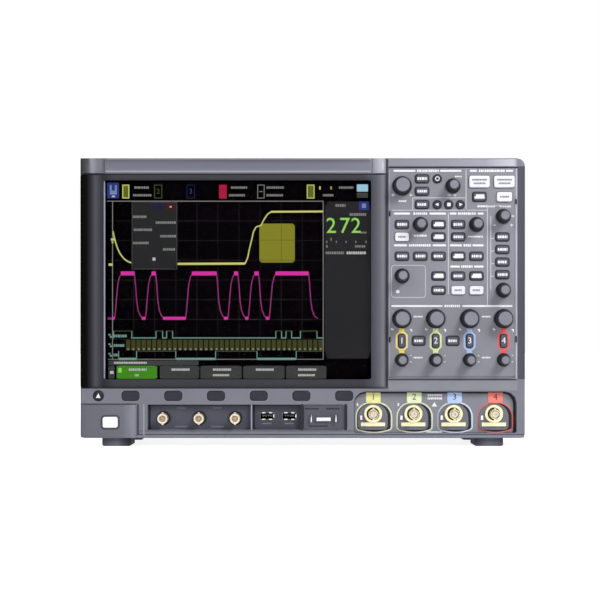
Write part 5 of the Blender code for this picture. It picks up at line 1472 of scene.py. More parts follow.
@dataclass
class PanelPrint:
    """The control panel's trim lines and white print.

    Headings are white bars with blocks of print between them; thin lines box
    the groups of controls, and small symbols say what each knob does.
    """

    proud: float = 0.05

    def build(self) -> None:
        """Builds the print and the trim."""
        white = tiles("white_marks", self.headings() + self.symbols(), PANEL_FACE, self.proud, 0.1)
        fit(white, INK_WHITE, "panel_print")
        self.add_lines()
        self.add_channel_rings()
        self.add_trim()

    def spans(self, row: float, *columns: tuple[float, float], height: float = 2.0) -> list[Rect]:
        """Gives bars of one pixel row, one for each pair of columns."""
        return [seen(a, row - height / 2, b, row + height / 2) for a, b in columns]

    def words(self, row: float, left: float, right: float, seed: int = 0, height: float = 2.4) -> list[Rect]:
        """Gives blocks that stand for a word between two pixel columns."""
        return print_row(left, right, row, height, seed)

    def headings(self) -> list[Rect]:
        """Lays out the heading bars of all groups."""
        boxes = self.spans(170.7, (393.5, 415.4), (440.0, 461.4), (470.0, 477.0), (506.0, 513.2))
        boxes += self.words(170.7, 417.2, 439.0, 1) + self.words(170.7, 479.0, 505.0, 4)
        boxes += self.spans(213.5, (394.0, 410.0), (429.5, 446.0), (450.0, 456.5), (477.7, 483.6))
        boxes += self.words(213.5, 413.4, 428.0, 2) + self.words(213.5, 458.0, 476.0, 5)
        boxes += self.spans(245.3, (394.0, 407.0), (432.8, 446.0), (450.0, 462.0), (472.6, 483.6))
        boxes += self.words(245.3, 409.0, 431.6, 3) + self.words(245.3, 463.6, 471.0, 0)
        boxes += self.spans(266.5, (450.4, 459.8), (474.2, 483.6)) + self.words(266.5, 461.4, 473.0, 6)
        boxes += self.spans(306.0, (391.4, 442.6), (462.4, 512.4)) + self.words(306.0, 444.4, 460.6, 7)
        return boxes

    def symbols(self) -> list[Rect]:
        """Lays out the small marks by the knobs and keys."""
        boxes: list[Rect] = []
        for column, row in (
            (392.9, 195.0), (410.9, 195.0), (449.3, 195.0), (454.9, 195.0), (494.5, 225.0), (511.6, 225.0),
            (513.0, 216.0)
        ):
            boxes += [
                seen(column - 1.6, row - 0.5, column + 1.6, row + 0.5),
                seen(column - 0.5, row - 1.3, column + 0.5, row + 1.3)
            ]
        boxes += self.words(235.6, 413.6, 426.6, 3, 2.0)
        boxes += self.words(206.2, 477.6, 495.0, 5, 2.0) + self.words(206.2, 499.6, 512.0, 2, 2.0)
        for x in CHANNELS:
            for side in (-1, 1):
                mark = round_box(x + side * 8.9, panel_z(154.4), 2.2, 1.2)
                left = (mark[0], mark[0] + 1.0, mark[3], mark[3] + 0.9)
                right = (mark[1] - 1.2, mark[1], mark[2] - 1.4, mark[2])
                boxes += [mark, left if side < 0 else right]
        for row in (316.6, 357.6):
            boxes += self.words(row, 413.6, 422.6, 1, 1.6) + self.words(row, 482.0, 490.6, 4, 1.6)
        boxes += self.words(201.0, 398.6, 406.4, 2, 1.6) + self.words(176.4, 455.0, 462.6, 5, 1.4)
        boxes += self.words(236.6, 468.4, 483.4, 2, 1.6)
        return boxes

    def add_lines(self) -> None:
        """Adds the thin lines that box the groups."""
        lines = [
            seen(465.7, 169.2, 466.5, 208.8), seen(448.0, 212.6, 448.8, 294.0),
            seen(487.1, 205.0, 487.9, 305.0),
            seen(412.4, 197.4, 465.6, 198.2), seen(412.4, 197.6, 413.2, 209.0),
            seen(392.0, 209.8, 465.6, 210.5),
            seen(466.6, 209.8, 487.2, 210.5), seen(490.4, 216.0, 491.2, 290.0),
            seen(487.8, 205.0, 511.0, 205.7),
        ]
        for row in (238.0, 250.6, 263.2, 275.8):
            lines.append(seen(491.0, row, 494.0, row + 0.8))
        pieces = [tiles("line_tiles", lines, PANEL_FACE, self.proud, 0.05)]
        box = seen(391.1, 265.0, 425.9, 297.7)
        pieces.append(outline("entry_box", box, PANEL_FACE, 0.6, self.proud, 3.2, 3.2))
        for row, flip in ((355.6, 1), (361.8, -1)):
            for x in CHANNELS:
                pieces.append(self.arrow(x + 8.7, (PIXEL_ZERO_Z - row) * PIXEL, 1.4, flip))
        fit(join("panel_lines", pieces), INK_PALE, "panel_lines")
        x, z = at(397.7, 291.6)
        lamp = soften(prism("lamp", round_box(x, z, 3.6), PANEL_FACE, PANEL_FACE - 0.5, sides=20), 0.2)
        fit(lamp, KEY_LIT, "entry_lamp")

    def arrow(self, x: float, z: float, size: float, flip: int) -> Thing:
        """Builds a small triangle that points up, or down where flip is -1."""
        thing = start_face("arrow", round_box(x, z, size * 2, size * 1.5), PANEL_FACE, 3)
        if flip < 0:
            bpy.ops.transform.resize(value=(1, 1, -1), center_override=Vector((x, PANEL_FACE, z)) * MM)
        raise_by(self.proud)
        return close_edit(thing)

    def add_channel_rings(self) -> None:
        """Adds the coloured line round each channel key, with its necks to the knobs."""
        for number, x in enumerate(CHANNELS):
            high, low = (PIXEL_ZERO_Z - 331.6) * PIXEL, (PIXEL_ZERO_Z - 350.6) * PIXEL
            ring = outline("ring", (x - 5.7, x + 5.7, low, high), PANEL_FACE, 1.65, self.proud, 3.2, 3.2, 1)
            necks = [(x - 2.5, x + 2.5, high - 0.3, high + 4.2), (x - 2.5, x + 2.5, low - 4.0, low + 0.3)]
            piece = join("ring", [ring, tiles("neck", necks, PANEL_FACE, self.proud, 0.05)])
            fit(piece, RING_INKS[number], f"channel_ring_{number + 1}")

    def add_trim(self) -> None:
        """Adds the panel's pale edge of painted highlight, the bands above and below it, its dark flank of painted
        shade, the clip slots and two lines of painted shadow.
        """
        # Pale edge lines of painted highlight round the panel and along its right side.
        trim = outline("panel_trim_highlight", seen(388.9, 168.2, 515.6, 378.9), PANEL_FACE, 0.55, 0.35, 2.6, 1.4)
        band = paint(tablet("panel_sill", (82.0, 205.0, 53.6, 62.9), FRONT, 0.12, rim=0.05), STRIP_GREY)
        settle(band, "panel_sill", "housing")
        strip = tablet("panel_brow", (82.0, 204.8, 267.5, 274.4), FRONT, 0.3, rim=0.2)
        fit(strip, TOP_STRIP, "panel_brow")
        side = tiles("side", [seen(515.6, 168.4, 517.2, 379.0)], FRONT, 0.2, 0.1)
        fit(join("trim", [trim, side]), EDGE_HIGHLIGHT, "panel_trim_highlight")
        # Flank: painted shade darkening towards the outer edge.
        reach = (205.4, 212.2, 64.4, 267.6)
        flank = grow(
            "flank",
            [(reach, FRONT + 0.05), (reach, FRONT - 0.08), ((205.6, 209.6, 64.8, 267.2), FRONT - 0.5)]
        )
        fit(flank, SIDE_DARK, "panel_flank_shade")
        # Clip slots, and dark lines of painted shadow under the top strip and below the panel.
        slots = [
            seen(388.9, 211.0, 390.5, 216.4), seen(388.9, 337.0, 390.5, 342.2),
            seen(515.2, 199.0, 516.9, 204.2), seen(515.2, 336.0, 516.9, 342.6)
        ]
        slots += [seen(388.2, 166.8, 518.0, 168.0), seen(388.4, 379.0, 517.0, 380.0)]
        fit(tiles("slots", slots, FRONT, 0.5, 0.1), SHADE_AND_PRINT_DARK, "panel_slots_and_shadow_lines")


class KeyLook(Enum):
    """How a key looks: dark rubber, lit from inside, round, or dark with a coloured group."""

    DARK = "dark"
    LIT = "lit"
    ROUND = "round"


@dataclass(frozen=True)
class Key:
    """One key: where its middle is, its size and its look."""

    x: float
    z: float
    across: float = 13.8
    up: float = 8.8
    look: KeyLook = KeyLook.DARK
    label: str = ""


def rows_of(columns: Sequence[float], rows: Sequence[float], **settings: object) -> list[Key]:
    """Gives a key at each crossing of panel columns and rows."""
    return [Key(panel_x(u), panel_z(v), **settings) for v in rows for u in columns]


KEY_GROUPS: dict[str, list[Key]] = {
    "horizontal_keys": rows_of((32.1,), (10.3, 22.3, 35.0)),
    "zoom_key": rows_of((46.6,), (10.3,), across=8.5, up=8.5, look=KeyLook.ROUND, label="ring"),
    "navigate_keys": [
        Key(panel_x(u), panel_z(35.0), 8.5, 8.5, KeyLook.ROUND, label)
        for u, label in ((46.6, "back"), (57.6, "stop"), (68.6, "play"))
    ],
    "trigger_keys": rows_of((12.9,), (54.0,)) + rows_of((12.9,), (65.9,), look=KeyLook.LIT),
    "zone_measure_keys": rows_of((47.8,), (54.0, 65.9), label="icon") + rows_of((66.6,), (54.0, 65.9)),
    "waveform_keys": rows_of((12.9, 30.4, 47.8, 84.0), (84.3,)) + rows_of((66.6,), (84.3,), label="icon"),
    "tools_keys": rows_of((47.8, 84.0), (103.2,), label="icon") + rows_of((66.6,), (103.2,))
    + rows_of((47.8,), (116.8,)) + rows_of((66.6, 84.0), (116.8,), look=KeyLook.LIT, label="figure"),
    "source_keys": rows_of((108.8,), (65.9, 77.9, 89.9, 101.9)),
    "run_stop_key": rows_of((86.8,), (13.1,), across=20.2, up=11.9, look=KeyLook.LIT),
    "single_key": rows_of((110.6,), (13.1,), across=20.2, up=11.9, look=KeyLook.LIT),
    "default_setup_key": rows_of((86.8,), (27.6,), across=13.9, up=9.8, label="icon"),
    "auto_scale_key": rows_of((110.6,), (27.6,), across=15.1, up=9.8, look=KeyLook.LIT),
    "math_key": rows_of((28.9,), (CHANNEL_KEY_ROW,), across=13.2, up=9.7),
    "digital_key": rows_of((61.3,), (CHANNEL_KEY_ROW,), across=13.2, up=9.7),
}


@dataclass
class KeySet:
    """All keys of the panel: silicone keys with print, and milky lit caps in dark collars."""

    root: float = -60.4
    shoulder: float = -63.3
    face: float = -64.4
    corner: float = 2.5
    gap: float = 0.2
    lip: float = 1.0

    def build(self) -> None:
        """Builds each group as one piece that stands for its CAD node."""
        for name, keys in KEY_GROUPS.items():
            pieces = [piece for i, key in enumerate(keys) for piece in self.key(key, i)]
            settle(smooth(join(name, pieces)), f"{name}_caps", name, [name])
        for number, x in enumerate(CHANNELS):
            name = f"channel_key_{number + 1}"
            pieces = self.channel_key(x, panel_z(CHANNEL_KEY_ROW), number)
            settle(smooth(join(name, pieces)), f"{name}_cap", name, [name])
        self.add_key_frames()
        self.add_softkeys()
        self.add_back_key()
        self.add_power_key()

    def add_key_frames(self) -> None:
        """Adds the panel's raised lip round each key, whose inner corners follow the key."""
        keys = [key for group in KEY_GROUPS.values() for key in group if key.look is not KeyLook.ROUND]
        boxes = [round_box(key.x, key.z, key.across, key.up) for key in keys]
        boxes += [round_box(x, panel_z(CHANNEL_KEY_ROW), *CHANNEL_KEY_SIZE) for x in CHANNELS]
        corner = self.corner + self.gap + self.lip
        outer = [shrunk(box, -self.gap - self.lip) for box in boxes]
        frames = [outline("lip", box, PANEL_FACE, self.lip, 0.04, corner, corner, 5) for box in outer]
        fit(join("key_lips", frames), PANEL_GREY, "key_lips")

    def cap(self, box: Rect, low: float, high: float, draw: float, corner: float, finish: Finish) -> Thing:
        """Builds one cap with rounded corners, drawn in towards a slightly hollow top.

        Args:
            box: Footprint.
            low: Depth of its root.
            high: Depth of its face.
            draw: How far the face is drawn in.
            corner: Corner radius.
            finish: Its finish.

        Returns:
            The cap.
        """
        rise = low + (high - low) * 0.72
        shoulder = low + (high - low) * 0.92
        sections = stepped(
            box, (0, low), (0, rise), (draw * 0.35, shoulder), (draw, high), (draw + 0.8, high + 0.06)
        )
        return paint(grow("cap", sections, corner=corner, steps=4), finish)

    def key(self, key: Key, seed: int) -> list[Thing]:
        """Builds one key.

        Args:
            key: The key.
            seed: Number that varies its printed blocks.

        Returns:
            Its pieces, each with its finish.
        """
        box = round_box(key.x, key.z, key.across, key.up)
        if key.look is KeyLook.ROUND:
            return self.round_key(key)
        lit = key.look is KeyLook.LIT
        # Dark collar: dark silicone, partly painted shade of the gap round the key.
        collar = self.cap(box, self.root, self.shoulder + (1.6 if lit else 0.0), 0.5, self.corner, KEY_DARK)
        inset = 0.25 if lit else 1.25
        top = self.cap(
            shrunk(box, inset), self.shoulder + (2.0 if lit else 0.6), self.face, 0.5, self.corner * 0.8,
            KEY_LIT if lit else KEY_FACE
        )
        width, height = key.across - (6.4 if lit else 4.6), 1.7 if lit else 2.5
        rows = [0.0] if key.up < 11 else [1.7, -1.7]
        boxes = [
            b for i, r in enumerate(rows)
            for b in legend(key.x, key.z + r, width * (0.8 if i else 1), height, seed + i)
        ]
        if key.label == "icon":
            boxes = [round_box(key.x + 0.5, key.z + 1.2, 8.0, 1.9), round_box(key.x, key.z - 0.7, 9.6, 2.2)]
        print_ink = INK_GREY if lit else INK_WHITE
        return [collar, top, paint(tiles("print", boxes, self.face + 0.05, 0.09, 0.1), print_ink)]

    def round_key(self, key: Key) -> list[Thing]:
        """Builds a round key with its symbol."""
        box = round_box(key.x, key.z, key.across)
        sections = stepped(
            box, (0, self.root), (0, -63.2), (0.3, -63.9), (0.9, self.face), (1.7, self.face + 0.1)
        )
        pieces = [paint(grow("round_key", sections, sides=32), KEY_DARK)]
        depth, size = self.face + 0.06, key.across * 0.3
        if key.label == "ring":
            mark = outline(
                "mark", round_box(key.x, key.z, size * 1.7), depth, 0.8, 0.09, size * 0.8, size * 0.8
            )
        elif key.label == "stop":
            mark = tiles("mark", [round_box(key.x, key.z, size * 1.3)], depth, 0.09, 0.05)
        else:
            mark = start_face("mark", round_box(key.x, key.z, size * 1.5, size * 1.7), depth, 3)
            turn = math.pi / 2 if key.label == "back" else -math.pi / 2
            middle = Vector((key.x, depth, key.z)) * MM
            bpy.ops.transform.rotate(value=turn, orient_axis="Y", center_override=middle)
            raise_by(0.09)
            close_edit(mark)
        return pieces + [paint(mark, INK_WHITE)]

    def channel_key(self, x: float, z: float, number: int) -> list[Thing]:
        """Builds a tall channel key with its plain number."""
        box = round_box(x, z, *CHANNEL_KEY_SIZE)
        collar = self.cap(box, self.root, self.shoulder, 0.5, 1.6, KEY_DARK)
        top = self.cap(shrunk(box, 0.9), self.shoulder + 0.6, self.face, 0.4, 1.0, KEY_FACE)
        digit = figure(str(number + 1), x, z, 6.0, self.face + 0.05, 0.09)
        return [collar, top, paint(digit, INK_WHITE)]

    def add_softkeys(self) -> None:
        """Adds the six keys under the display."""
        template = round_box(0, 0, 17.1, 9.7)
        rim = stepped(template, (0, -58.0), (0, -63.0), (0.3, -63.5), (1.0, -64.0), (2.0, -63.85))
        master = paint(smooth(grow("softkey", rim, corner=3.3, steps=6)), SOFTKEY_DARK)
        collar_box = shrunk(template, -0.9)
        collar = paint(outline("softkey_collar", collar_box, FRONT, 0.75, 0.12, 3.9, 3.9), STRIP_GREY)
        places = [(-164.4 + 40.8 * i, 0, SOFTKEY_ROW) for i in range(6)]
        keys = [twin(master, f"softkey_{i}", place) for i, place in enumerate(places)]
        collars = [twin(collar, f"collar_{i}", place) for i, place in enumerate(places)]
        for thing in (master, collar):
            bpy.data.objects.remove(thing)
        settle(join("softkeys", keys), "softkeys_caps", "softkeys", ["softkeys"])
        settle(join("collars", collars), "softkey_collars", "housing")

    def add_back_key(self) -> None:
        """Adds the round key at the left of the soft keys, with its arrow."""
        x = -195.1
        box = round_box(x, SOFTKEY_ROW, 10.2)
        sections = stepped(box, (0, -58.4), (0, -63.0), (0.4, -63.7), (1.1, -64.0), (2.0, -63.9))
        key = paint(grow("back_key", sections, sides=40), KNOB_DARK)
        arrow = start_face("arrow", round_box(x, 47.9, 5.2, 6.2), -63.88, 3)
        raise_by(0.12)
        close_edit(arrow)
        settle(
            smooth(join("back", [key, paint(arrow, INK_WHITE)])), "back_key_cap", "back_key",
            ["back_key"]
        )

    def add_power_key(self) -> None:
        """Adds the white power key in its dark collar, with a plain power mark."""
        x, z = POWER_KEY
        box = round_box(x, z, 14.7, 10.5)
        collar = paint(outline("collar", shrunk(box, -1.7), FRONT - 0.95, 1.5, 0.12, 3.6, 3.6), LEDGE_DARK)
        settle(smooth(collar), "power_key_collar", "housing")
        cap = self.cap(box, -58.6, -64.3, 0.5, 2.0, POWER_LIT)
        bar = tiles("bar", [round_box(x, 25.0, 0.5, 2.6)], -64.25, 0.06, 0.05)
        turns = [a / 10 for a in range(6, 58, 3)]
        ring = stroke(
            "arc", [(x + 2.1 * math.sin(a), 23.4 + 2.1 * math.cos(a)) for a in turns], -64.28, 0.5, 0.06
        )
        mark_piece = join("mark", [bar, ring])
        settle(
            smooth(join("power", [cap, paint(mark_piece, INK_PALE)])), "power_key_cap", "power_key",
            ["power_key"]
        )


class KnobSize(Enum):
    """Knob sizes as skirt width, cap width and height above the bezel."""

    LARGE = (18.6, 14.6, 13.5)
    SMALL = (14.4, 9.8, 15.0)
    POSITION = (12.9, 9.1, 15.0)


KNOBS: dict[str, tuple[float, float, KnobSize]] = {
    "horizontal_scale_knob": (panel_x(12.9), panel_z(17.2), KnobSize.LARGE),
    "horizontal_position_knob": (panel_x(61.4), panel_z(17.2), KnobSize.SMALL),
    "trigger_level_knob": (panel_x(30.4), panel_z(54.0), KnobSize.SMALL),
    "cursors_knob": (panel_x(84.0), panel_z(54.0), KnobSize.SMALL),
    "shared_scale_knob": (panel_x(109.6), panel_z(46.3), KnobSize.SMALL),
    "shared_position_knob": (panel_x(109.6), panel_z(116.8), KnobSize.SMALL),
    "entry_knob": (panel_x(12.9), panel_z(103.2), KnobSize.SMALL),
}
KNOBS.update({f"scale_knob_{i + 1}": (x, panel_z(144.0), KnobSize.LARGE) for i, x in enumerate(CHANNELS)})
KNOBS.update({f"position_knob_{i + 1}": (x, panel_z(183.3), KnobSize.POSITION) for i, x in enumerate(CHANNELS)})


@dataclass
class KnobSet:
    """The fifteen knobs: a dark flared skirt and fluted grip under a satin grey cap."""

    seat: float = -63.2
    sides: int = 48

    def build(self) -> None:
        """Models each size once and copies it to its places."""
        for size in KnobSize:
            master = self.knob(*size.value)
            for name, (x, z, own) in KNOBS.items():
                if own is size:
                    settle(twin(master, name, (x, 0, z)), f"{name}_top", name, [name])
            bpy.data.objects.remove(master)

    def knob(self, skirt: float, cap: float, height: float) -> Thing:
        """Models a knob round the Y axis.

        Args:
            skirt: Width of the skirt.
            cap: Width of the cap's body.
            height: Height above the bezel's front.

        Returns:
            The knob.
        """
        front = FRONT - height
        disc, body, top = (round_box(0, 0, w) for w in (skirt, cap + 1.0, cap - 0.2))
        seat, neck = self.seat, (skirt - cap) * 0.3
        flare = stepped(disc, (0, seat), (0, seat - 1.3), (0.35, seat - 1.9), (neck, seat - 2.9))
        parts = [paint(grow("skirt", flare, sides=self.sides), KNOB_DARK)]
        grip = stepped(body, (0, seat - 2.0), (0.35, front + 1.5), (0.6, front + 0.8), (1.2, front + 0.7))
        parts.append(paint(grow("grip", grip, sides=self.sides, flute=0.045), KNOB_DARK))
        crown = stepped(
            top, (0, front + 0.9), (0, front + 0.3), (0.3, front), (0.85, front), (1.0, front + 0.3)
        )
        parts.append(paint(grow("crown", crown, sides=self.sides), KNOB_RIM))
        plate = stepped(top, (0.9, front + 0.4), (0.9, front + 0.08), (2.0, front + 0.14), (3.2, front + 0.15))
        parts.append(paint(grow("plate", plate, sides=self.sides), KNOB_CAP))
        return smooth(join("knob", parts), 32)


# ---------------------------------------------------------------- connectors

def arc(
    x: float, z: float, radius: float, start: float, end: float, steps: int = 8
) -> list[tuple[float, float]]:
    """Gives the points of an arc about a centre, from one angle in degrees to another."""
    angles = (math.radians(start + (end - start) * i / steps) for i in range(steps + 1))
    return [(x + radius * math.cos(a), z + radius * math.sin(a)) for a in angles]


def shield(box: Rect, upper: float, lower: float, bulge: float) -> list[tuple[float, float]]:
    """Gives the outline of a shield: broad upper corners and a bottom that bulges down.

    Args:
        box: Rectangle of the shield without its bulge.
        upper: Radius of the upper corners.
        lower: Radius of the lower corners.
        bulge: How far the middle of the bottom comes down.

    Returns:
        The outline's points, clockwise from the upper right corner.
    """
    x0, x1, z0, z1 = box
    points = arc(x1 - upper, z1 - upper, upper, 90, 0)
    points += arc(x1 - lower, z0 + lower, lower, 0, -75, 4)
    width = x1 - x0 - 2 * lower
    shares = [i / 8 for i in range(1, 8)]
    points += [(x1 - lower - share * width, z0 - 4 * bulge * share * (1 - share)) for share in shares]
    points += arc(x0 + lower, z0 + lower, lower, -105, -180, 4)
    return points + arc(x0 + upper, z1 - upper, upper, 180, 90)


def badge(name: str, points: Points, depth: float, thickness: float) -> Thing:
    """Builds a flat plate with a free outline that stands on the plane Y = depth.

    Args:
        name: Name of the piece.
        points: X and Z of each point of the outline.
        depth: Y of the carrying plane.
        thickness: How far the plate stands proud.

    Returns:
        The plate as a mesh.
    """
    curve = bpy.data.curves.new(name, "CURVE")
    curve.dimensions = "2D"
    curve.fill_mode = "BOTH"
    curve.extrude = thickness / 2 * MM
    thing = curve_to_mesh(curve, [(x * MM, z * MM, 0) for x, z in points], closed=True)
    return stand_up(thing, (0, (depth - thickness / 2) * MM, 0))


def tablet(
    name: str, box: Rect, depth: float, thickness: float, upper: float = 0.0, lower: float = 0.0,
    rim: float = 0.0
) -> Thing:
    """Builds a plate with its own radius for the upper and the lower corners.

    Args:
        name: Name of the piece.
        box: Rectangle of the plate.
        depth: Y of the carrying plane.
        thickness: How far it stands proud; negative to build towards the back.
        upper: Radius of the upper corners.
        lower: Radius of the lower corners.
        rim: Width of the slope round the face.

    Returns:
        The finished object.
    """
    thing = start_face(name, box, depth)
    if upper:
        round_corners(thing, upper, 6, upper=True)
    if lower:
        round_corners(thing, lower, 5, upper=False)
    bpy.ops.mesh.select_mode(type="FACE")
    bpy.ops.mesh.select_all(action="SELECT")
    step = math.copysign(rim, thickness)
    raise_to((box, depth), (box, depth - thickness + step))
    if rim:
        raise_to((box, depth - thickness + step), (shrunk(box, rim), depth - thickness))
    return close_edit(thing)


def lathe(name: str, x: float, z: float, profile: Points, sides: int = 40) -> Thing:
    """Builds a round piece from (radius, depth) steps, from its back edge round to its inside.

    Args:
        name: Name of the piece.
        x: X of its axis.
        z: Z of its axis.
        profile: Radius and depth of each step.
        sides: Number of sides.

    Returns:
        The finished object, shaded smooth.
    """
    return smooth(
        grow(name, [(round_box(x, z, 2 * radius), depth) for radius, depth in profile], sides=sides), 35.0
    )


def pierce(thing: Thing, cutters: Sequence[Thing]) -> Thing:
    """Cuts other pieces out of a piece and removes them."""
    for cutter in cutters:
        modifier = thing.modifiers.new("hole", "BOOLEAN")
        modifier.operation = "DIFFERENCE"
        modifier.solver = "EXACT"
        modifier.object = cutter
        pick(thing)
        bpy.ops.object.modifier_apply(modifier=modifier.name)
        bpy.data.objects.remove(cutter)
    return thing


def bayonet(
    x: float, z: float, seat: float, metal: Finish, core: Finish, sleeve: float = 4.85, wall: float = 0.8
) -> Thing:
    """Builds the bayonet sleeve of a coaxial socket with its dielectric, pin and two lugs.

    Args:
        x: X of its axis.
        z: Z of its axis.
        seat: Y that it stands on.
        metal: Finish of the sleeve.
        core: Finish of the dielectric.
        sleeve: Outer radius of the sleeve.
        wall: Thickness of the sleeve.

    Returns:
        The joined piece.
    """
    tip = -71.0
    bore = sleeve - wall
    profile = [
        (sleeve, seat), (sleeve, tip + 0.25), (sleeve - 0.2, tip), (bore + 0.15, tip), (bore, tip + 0.2),
        (bore, seat - 4)
    ]
    pieces = [paint(lathe("sleeve", x, z, profile), metal)]
    core_gap = 0.7 if wall < 1.0 else 0.25
    rim = bore - core_gap
    nose = [(rim, seat - 3.9), (rim, tip + 1.2), (rim - 0.3, tip + 0.9), (1.1, tip + 0.9), (1.1, tip + 2.4)]
    pieces.append(paint(lathe("dielectric", x, z, nose, 28), core))
    pieces.append(
        paint(
            lathe(
                "pin", x, z, [(0.85, tip + 3.0), (0.85, tip + 1.5), (0.4, tip + 1.3), (0.4, tip + 2.5)], 14
            ), GOLD
        )
    )
    for side in (-1, 1):
        lug = round_box(x, z + side * (sleeve + 0.35), 2.0, 1.6)
        lug_piece = grow("lug", stepped(lug, (0, tip + 4.3), (0, tip + 2.4), (0.25, tip + 2.1)), 0.4, 2)
        pieces.append(paint(lug_piece, metal))
    return join("bayonet", pieces)


@dataclass
class InputBay:
    """Four channel inputs in their tray.

    Each input is a bayonet socket inside a probe ring, with a contact bar under
    it, on a plate inside a printed shield. A numbered tag sits above each.
    """

    centres: tuple[float, ...] = (67.3, 105.9, 144.5, 183.1)
    height: float = 31.0
    floor: float = -57.35
    tag_columns: tuple[float, ...] = (373.3, 414.2, 454.6, 495.4)
    shield_columns: tuple[tuple[float, float], ...] = (
        (355.2, 392.4), (396.2, 432.9), (437.3, 472.9), (477.5, 513.4)
    )

    def build(self) -> None:
        """Builds the tray and the four inputs."""
        self.add_tray()
        for number, x in enumerate(self.centres):
            self.add_surround(number)
            self.add_socket(number, x)
        self.add_print()

    def add_tray(self) -> None:
        """Adds a dark plate of painted shade in the recess and the tray that fills all but its upper and right
        edge, where the shade shows.
        """
        # Near-black plate: painted shade along the recess's upper and right edges.
        recess = tablet("recess", (49.1, 204.3, 13.0, 52.4), POCKET, 0.12, 10.9, 1.9)
        fit(recess, SHADE_AND_PRINT_DARK, "input_recess_shade")
        tray = tablet(
            "tray", (49.6, 201.8, 13.1, 50.4), POCKET - 0.1, -(self.floor - POCKET + 0.1), 10.2, 1.8, 0.1
        )
        fit(tray, TRAY_GREY, "input_tray")

    def add_surround(self, number: int) -> None:
        """Adds one shield: printed line, a dark sheet inside it whose rim round the plate is painted shade, and
        numbered tag.

        Args:
            number: Input, from 0.
        """
        left, right = self.shield_columns[number]
        box = seen(left + 0.9, 402.9, right - 0.9, 430.4, self.floor)
        points = shield(box, 13.2, 3.6, 2.2)
        # Dark sheet under the plate: its rim round the plate is painted shade.
        film = badge("film", points, self.floor, 0.04)
        fit(film, SHADE_AND_PRINT_DARK, f"input_shade_sheet_{number + 1}")
        line = stroke("line", points + points[:2], self.floor - 0.05, 1.75, 0.16)
        tag_box = seen(self.tag_columns[number] - 7.3, 392.5, self.tag_columns[number] + 7.3, 403.0, self.floor)
        tag = tablet("tag", tag_box, self.floor, 0.35, 0.7, 1.9, 0.12)
        shield_piece = join("shield", [paint(line, SHIELD_INKS[number]), paint(tag, CHANNEL_INKS[number])])
        settle(shield_piece, f"input_shield_{number + 1}", "housing")
        x, z = (tag_box[0] + tag_box[1]) / 2, (tag_box[2] + tag_box[3]) / 2 + 0.7
        digit = figure(str(number + 1), x, z, 6.0, self.floor - 0.35, 0.05)
        fit(digit, INK_DARK, f"input_digit_{number + 1}")

    def add_socket(self, number: int, x: float) -> None:
        """Adds one input: plate, probe ring, bayonet, contact bar and sense contact.

        Args:
            number: Input, from 0.
            x: X of its axis.
        """
        z = self.height
        seat, face = POCKET - 0.3, POCKET - 1.5
        plate = tablet("plate", (x - 14.3, x + 14.3, z - 15.55, z + 9.35), seat, seat - face, 12.0, 4.5, 0.25)
        steps = [
            (8.75, face), (8.75, face - 2.4), (8.35, face - 2.8), (6.5, face - 2.8), (6.1, face - 2.5),
            (6.1, face - 0.2)
        ]
        gap = lathe("gap", x, z, [(6.08, face), (6.08, face - 0.3)])
        pieces = [
            paint(plate, INPUT_PLATE),
            paint(lathe("ring", x, z, steps, 48), GOLD),
            paint(gap, BLACK_PLASTIC),
            bayonet(x, z, face, GOLD, INSULATOR, 4.7),
        ]
        bar = round_box(x, z - 10.1, 23.4, 4.0)
        bar_piece = grow("bar", stepped(bar, (0, face), (0, face - 1.2), (0.3, face - 1.5)), 0.6, 2)
        pieces.append(paint(bar_piece, GOLD_PALE))
        post = round_box(x - 11.3, z - 3.6, 2.6, 4.8)
        post_piece = grow("post", stepped(post, (0, face), (0, face - 1.0), (0.4, face - 1.4)), 0.5, 2)
        pieces.append(paint(post_piece, CHROME))
        name = f"input_bnc_{number + 1}"
        settle(join("input", pieces), f"{name}_look", "housing", (name,))

    def add_print(self) -> None:
        """Adds the white rating print between the second and the third input."""
        floor = self.floor
        boxes = []
        for row, seed in ((395.2, 0), (398.4, 3)):
            boxes += print_row(427.6, 442.4, row, 2.2, seed, floor)
        boxes.append(seen(426.0, 431.3, 442.4, 433.0, floor))
        for column in (357.5, 398.3):
            boxes.append(seen(column - 0.8, 403.0, column + 0.8, 406.0, floor))
        marks = tiles("rating", boxes, floor, 0.05, 0.1)
        x, z = at(434.4, 404.4, floor)
        warning = badge("warning", [(x - 2.6, z - 2.0), (x + 2.6, z - 2.0), (x, z + 2.4)], floor, 0.05)
        fit(join("input_print", [marks, warning]), INK_WHITE, "input_print")


STICK_SOCKETS = (-34.1, -12.8)
STICK_ROW = 28.8
TERMINALS = (8.15, 31.65)


